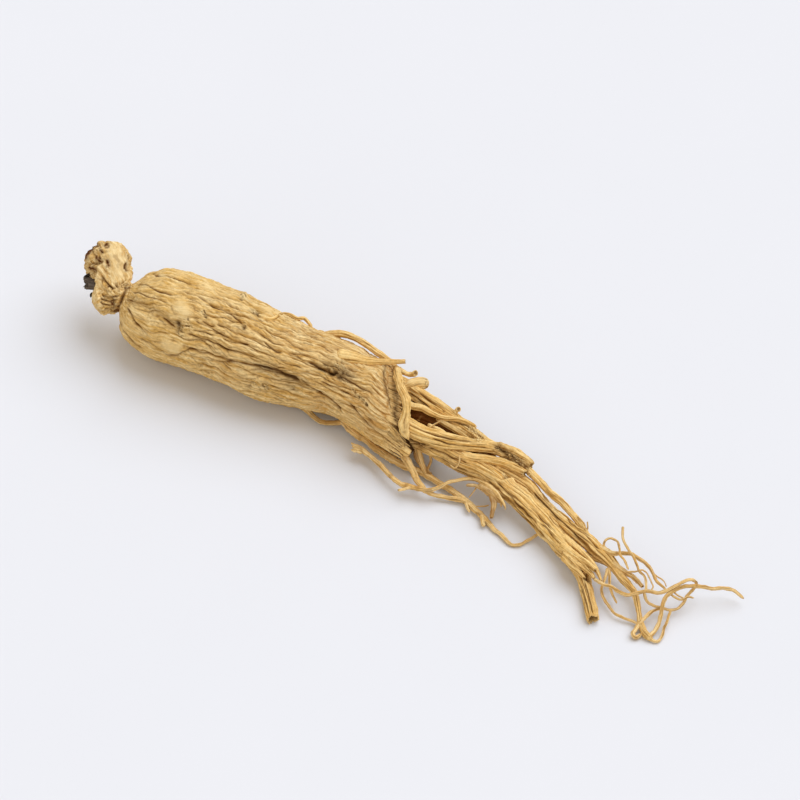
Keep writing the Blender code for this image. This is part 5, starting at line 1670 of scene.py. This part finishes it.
@dataclass(frozen=True)
class Hairs(Growth):
    """Thin hairs, and brown strands darkened partly as painted shade, that stand off the legs and rootlets."""

    name: str = "hairs"
    strands: tuple[Strand, ...] = (
        # These two hang under the fork; their heavy stain is partly painted shade.
        Strand("brown_strand_a", HAIR_SKIN, soil_and_shade=0.6, stations=(
            (3.4, 9.4, 4.6, 0.6), (3.3, 11.4, 3.6, 0.6), (4.2, 12.8, 2.6, 0.56), (5.2, 14.0, 1.9, 0.48),
        )),
        Strand("brown_strand_b", HAIR_SKIN, soil_and_shade=0.5, stations=(
            (5.6, 9.8, 5.0, 0.3), (6.2, 12.0, 3.8, 0.3), (5.5, 13.8, 2.8, 0.28), (6.2, 14.8, 2.0, 0.26),
        )),
        Strand("leg_curl", HAIR_SKIN, stations=(
            (11.8, 11.0, 7.6, 0.16), (11.8, 12.4, 7.0, 0.16), (11.0, 13.6, 6.2, 0.16),
            (10.1, 13.0, 6.0, 0.14),
        )),
        Strand("hollow_twig", HAIR_SKIN, soil_and_shade=0.35, stations=(
            (5.8, 5.5, 10.4, 0.16), (6.8, 4.9, 10.3, 0.17), (7.6, 4.5, 10.2, 0.15), (8.3, 4.1, 10.2, 0.13),
        )),
        Strand("side_hair_a", HAIR_SKIN, soil_and_shade=0.2, stations=(
            (35.4, 23.2, 5.6, 0.18), (36.6, 24.4, 5.8, 0.16), (37.0, 25.6, 5.6, 0.14),
        )),
        Strand("side_hair_b", HAIR_SKIN, soil_and_shade=0.3, stations=(
            (37.3, 24.2, 6.2, 0.16), (37.4, 25.6, 5.6, 0.16),
        )),
        Strand("trail_hair_a", HAIR_SKIN, soil_and_shade=0.2, stations=(
            (15.4, 17.2, 3.6, 0.16), (14.6, 18.4, 3.0, 0.14), (13.8, 19.4, 2.4, 0.12),
        )),
        Strand("trail_hair_b", HAIR_SKIN, soil_and_shade=0.2, stations=(
            (15.2, 21.2, 1.4, 0.16), (16.6, 21.2, 1.5, 0.16), (17.6, 21.0, 1.6, 0.16),
        )),
        Strand("arc_hair", HAIR_SKIN, soil_and_shade=0.1, stations=(
            (50.0, 34.2, 4.4, 0.16), (51.3, 35.2, 4.4, 0.16), (52.4, 36.0, 4.2, 0.14),
            (52.9, 37.0, 4.0, 0.12),
        )),
        Strand("loop_hair", HAIR_SKIN, stations=(
            (44.8, 34.1, 4.6, 0.18), (46.7, 34.1, 4.8, 0.18), (48.2, 33.8, 4.8, 0.18),
            (49.2, 34.7, 4.6, 0.16), (49.9, 36.2, 4.2, 0.16), (50.3, 37.1, 3.9, 0.16),
            (49.8, 38.0, 3.6, 0.16),
        )),
        Strand("low_hair", HAIR_SKIN, stations=(
            (47.4, 44.6, 1.6, 0.3), (49.0, 43.0, 2.0, 0.3), (50.4, 41.8, 2.2, 0.28), (51.8, 41.3, 2.2, 0.24),
        )),
        Strand("spur_a", HAIR_SKIN, soil_and_shade=0.1, stations=(
            (53.6, 38.4, 4.2, 0.24), (54.6, 39.2, 3.9, 0.26), (55.8, 39.6, 3.7, 0.24),
            (57.2, 39.1, 3.7, 0.22), (58.2, 39.3, 3.6, 0.18),
        )),
        Strand("spur_b", HAIR_SKIN, soil_and_shade=0.1, stations=(
            (54.2, 38.0, 4.4, 0.18), (55.2, 38.8, 4.1, 0.18), (56.2, 39.3, 3.9, 0.14),
        )),
    )


@dataclass(frozen=True)
class DeadStem:
    """The stub of last year's stem: a bundle of dark fibres round a hollow, ragged at its end.

    Its fibres stand on a ring round the core's line, ring millimetres from it, and fibre is their radius.
    """

    core: tuple[Station, ...] = (
        (-59.4, -23.2, 11.5, 0.95), (-61.4, -23.4, 11.5, 1.15), (-63.1, -23.5, 11.5, 1.05),
    )
    slivers: tuple[tuple[str, tuple[Station, ...]], ...] = (
        ("upper_sliver", ((-60.4, -25.4, 12.2, 0.4), (-62.0, -25.2, 12.3, 0.36), (-63.2, -24.8, 12.2, 0.2))),
        ("lower_sliver", ((-60.8, -21.4, 10.6, 0.4), (-61.8, -21.2, 10.4, 0.34), (-62.0, -20.8, 10.2, 0.2))),
    )
    fibres: int = 11
    ring: float = 0.95
    fibre: float = 0.34

    def fibre_line(self, k: int) -> tuple[Station, ...]:
        """Lays the stations of one fibre of the bundle.

        Args:
            k: Which fibre it is, round the ring.

        Returns:
            Its stations, the last of them further out or further in than the core's.
        """
        turn = math.tau * k / self.fibres
        aside, above = self.ring * math.cos(turn), self.ring * math.sin(turn)
        reaches = (0.0, 0.0, 0.5 * math.sin(5.3 * k) - 0.1)
        return tuple(
            (right - reaches[i], down + aside, up + above, self.fibre * (1 + 0.2 * math.sin(3.1 * k + i)))
            for i, (right, down, up, _) in enumerate(self.core)
        )

    def build(self, finish: bpy.types.Material) -> bpy.types.Object:
        """Builds the bundle and dresses it.

        Args:
            finish: The dead fibres' finish.

        Returns:
            The piece.
        """
        bundle = [Strand("stem_core", STEM_SKIN, End.HOLLOW, self.core)]
        for k in range(self.fibres):
            bundle.append(Strand(f"stem_fibre_{k}", STEM_SKIN, End.BROKEN, self.fibre_line(k)))
        for name, line in self.slivers:
            # The slivers are stained nearly black, partly as painted shade in the cracks round the stem.
            bundle.append(Strand(name, STEM_SKIN, End.POINTED, line, soil_and_shade=1.0))
        piece = joined("dead_stem", [strand.build() for strand in bundle])
        return rooted(piece, finish, "stem_stub")


@dataclass(frozen=True)
class Lamp:
    """One soft light.

    It stands side to the right and away, as seen in the picture, and rise above the surface. Power is in
    watts a square metre, spread is how wide it looks from the root, and angles are radians. Its light is the
    same from any distance: far, in metres, only sets its place.
    """

    name: str
    side: tuple[float, float]
    rise: float
    power: float
    spread: float
    colour: str
    far: float = 2.0

    def build(self) -> None:
        """Adds the light."""
        light = bpy.data.lights.new(self.name, "SUN")
        light.energy = self.power
        light.angle = self.spread
        light.color = linear(self.colour)[:3]
        lamp = bpy.data.objects.new(self.name, light)
        bpy.context.scene.collection.objects.link(lamp)
        right = Vector((math.cos(SHEET.turn), math.sin(SHEET.turn), 0))
        away = Vector((-math.sin(SHEET.turn), math.cos(SHEET.turn), 0))
        flat = (right * self.side[0] + away * self.side[1]).normalized()
        towards = flat * math.cos(self.rise) + Vector((0, 0, math.sin(self.rise)))
        lamp.rotation_euler = towards.to_track_quat("Z", "Y").to_euler()
        lamp.location = towards * self.far


@dataclass(frozen=True)
class Studio:
    """The pale floor, the soft light and the camera.

    Lens and sensor are the camera's, width is how much it sees of the sheet, aim_height is how high above
    the surface it aims, and floor_size is metres.
    """

    lens: float = 1000.0
    sensor: float = 36.0
    width: float = 160.0
    aim_height: float = 6.0
    floor_size: float = 12.0
    sky: str = "#FFF7EE"
    sky_strength: float = 0.6
    lamps: tuple[Lamp, ...] = (
        Lamp("key", (0.83, 0.55), math.radians(57), 2.63, math.radians(64), "#E8F0FF"),
        Lamp("fill", (-0.5, -0.85), math.radians(28), 0.55, math.radians(70), "#FFF6EA"),
    )

    def build(self) -> None:
        """Sets the floor, the lights and the camera."""
        bpy.ops.object.select_all(action="DESELECT")
        bpy.ops.mesh.primitive_plane_add(size=self.floor_size)
        floor = bpy.context.object
        floor.name = floor.data.name = "floor"
        floor.data.materials.append(Paper().material())
        scene = bpy.context.scene
        world = bpy.data.worlds.new("studio")
        scene.world = world
        world.use_nodes = True
        sky = world.node_tree.nodes["Background"]
        sky.inputs["Color"].default_value = linear(self.sky)
        sky.inputs["Strength"].default_value = self.sky_strength
        for lamp in self.lamps:
            lamp.build()
        self.camera()
        scene.view_settings.view_transform = "Standard"

    def camera(self) -> None:
        """Adds the camera: a long lens from the photograph's angle."""
        data = bpy.data.cameras.new("camera")
        data.lens, data.sensor_width = self.lens, self.sensor
        camera = bpy.data.objects.new("camera", data)
        bpy.context.scene.collection.objects.link(camera)
        aim = Vector(SHEET.placed(np.array([[0.0, 0.0, self.aim_height]]))[0]) * MM
        back = Vector(SHEET.eye)
        far = self.width * MM * self.lens / self.sensor
        camera.location = aim + back * far
        camera.rotation_euler = back.to_track_quat("Z", "Y").to_euler()
        data.clip_end = 4 * far
        bpy.context.scene.camera = camera


# The body's dried bark: warm tan, its crests pale with painted highlight, and its threads short and faint.
BARK_FINISH = RootSkin(
    "dried_bark", crest="#EFD49A", body="#D2A85E", thread=(0.35, 1.2), lined=0.25,
)
# The neck's dried bark: as on the body, but streaked across short distances, its stains and painted shade a
# redder brown.
NECK_FINISH = RootSkin(
    "dried_neck", crest="#F0D8A2", body="#D6AC62", brown="#5C3414", streak=0.45, fibre=1.3,
    thread=(0.35, 0.8), lined=0.25,
)
# The legs' dried skin: yellower, with long strong lines that run with their growth.
LEG_FINISH = RootSkin(
    "dried_leg", crest="#F5D796", body="#DAAC5C", rosy="#C0863C", brown="#5C3412", streak=0.3,
    thread=(0.28, 5.0), lined=0.6,
)
# The rootlets' dried skin: as on the legs, with the finest lines and less tooth.
ROOTLET_FINISH = RootSkin(
    "dried_rootlet", crest="#F0D49A", body="#D2A45A", rosy="#B4803C", brown="#7A4A1E", streak=0.25,
    thread=(0.2, 4.0), lined=0.6, bump=0.5,
)
# The dead stem's weathered fibres: greyish brown, with painted shade nearly black in their gaps.
DEAD_FINISH = RootSkin(
    "dead_stem_fibre", crest="#6E6357", body="#4C423A", deep="#1E1915", rosy="#544638", cream="#71665A",
    brown="#241C16", streak=0.2, thread=(0.2, 4.0),
)


def main() -> None:
    """Builds the studio and the root's pieces, in order, and reports each of them."""
    logging.basicConfig(level=logging.INFO, format="%(message)s")
    Studio().build()
    finishes = (BARK_FINISH, NECK_FINISH, LEG_FINISH, ROOTLET_FINISH, DEAD_FINISH)
    bark, head, leg, rootlet, dead = (finish.material() for finish in finishes)
    for growth, finish in (
        (Taproot(), bark), (Neck(), head), (MainLeg(), leg), (Legs(), leg), (SideRoots(), leg),
        (Rootlets(), rootlet), (Hairs(), rootlet), (DeadStem(), dead),
    ):
        piece = growth.build(finish)
        log.info("%s: %d faces", piece.name, len(piece.data.polygons))


if __name__ == "__main__":
    main()
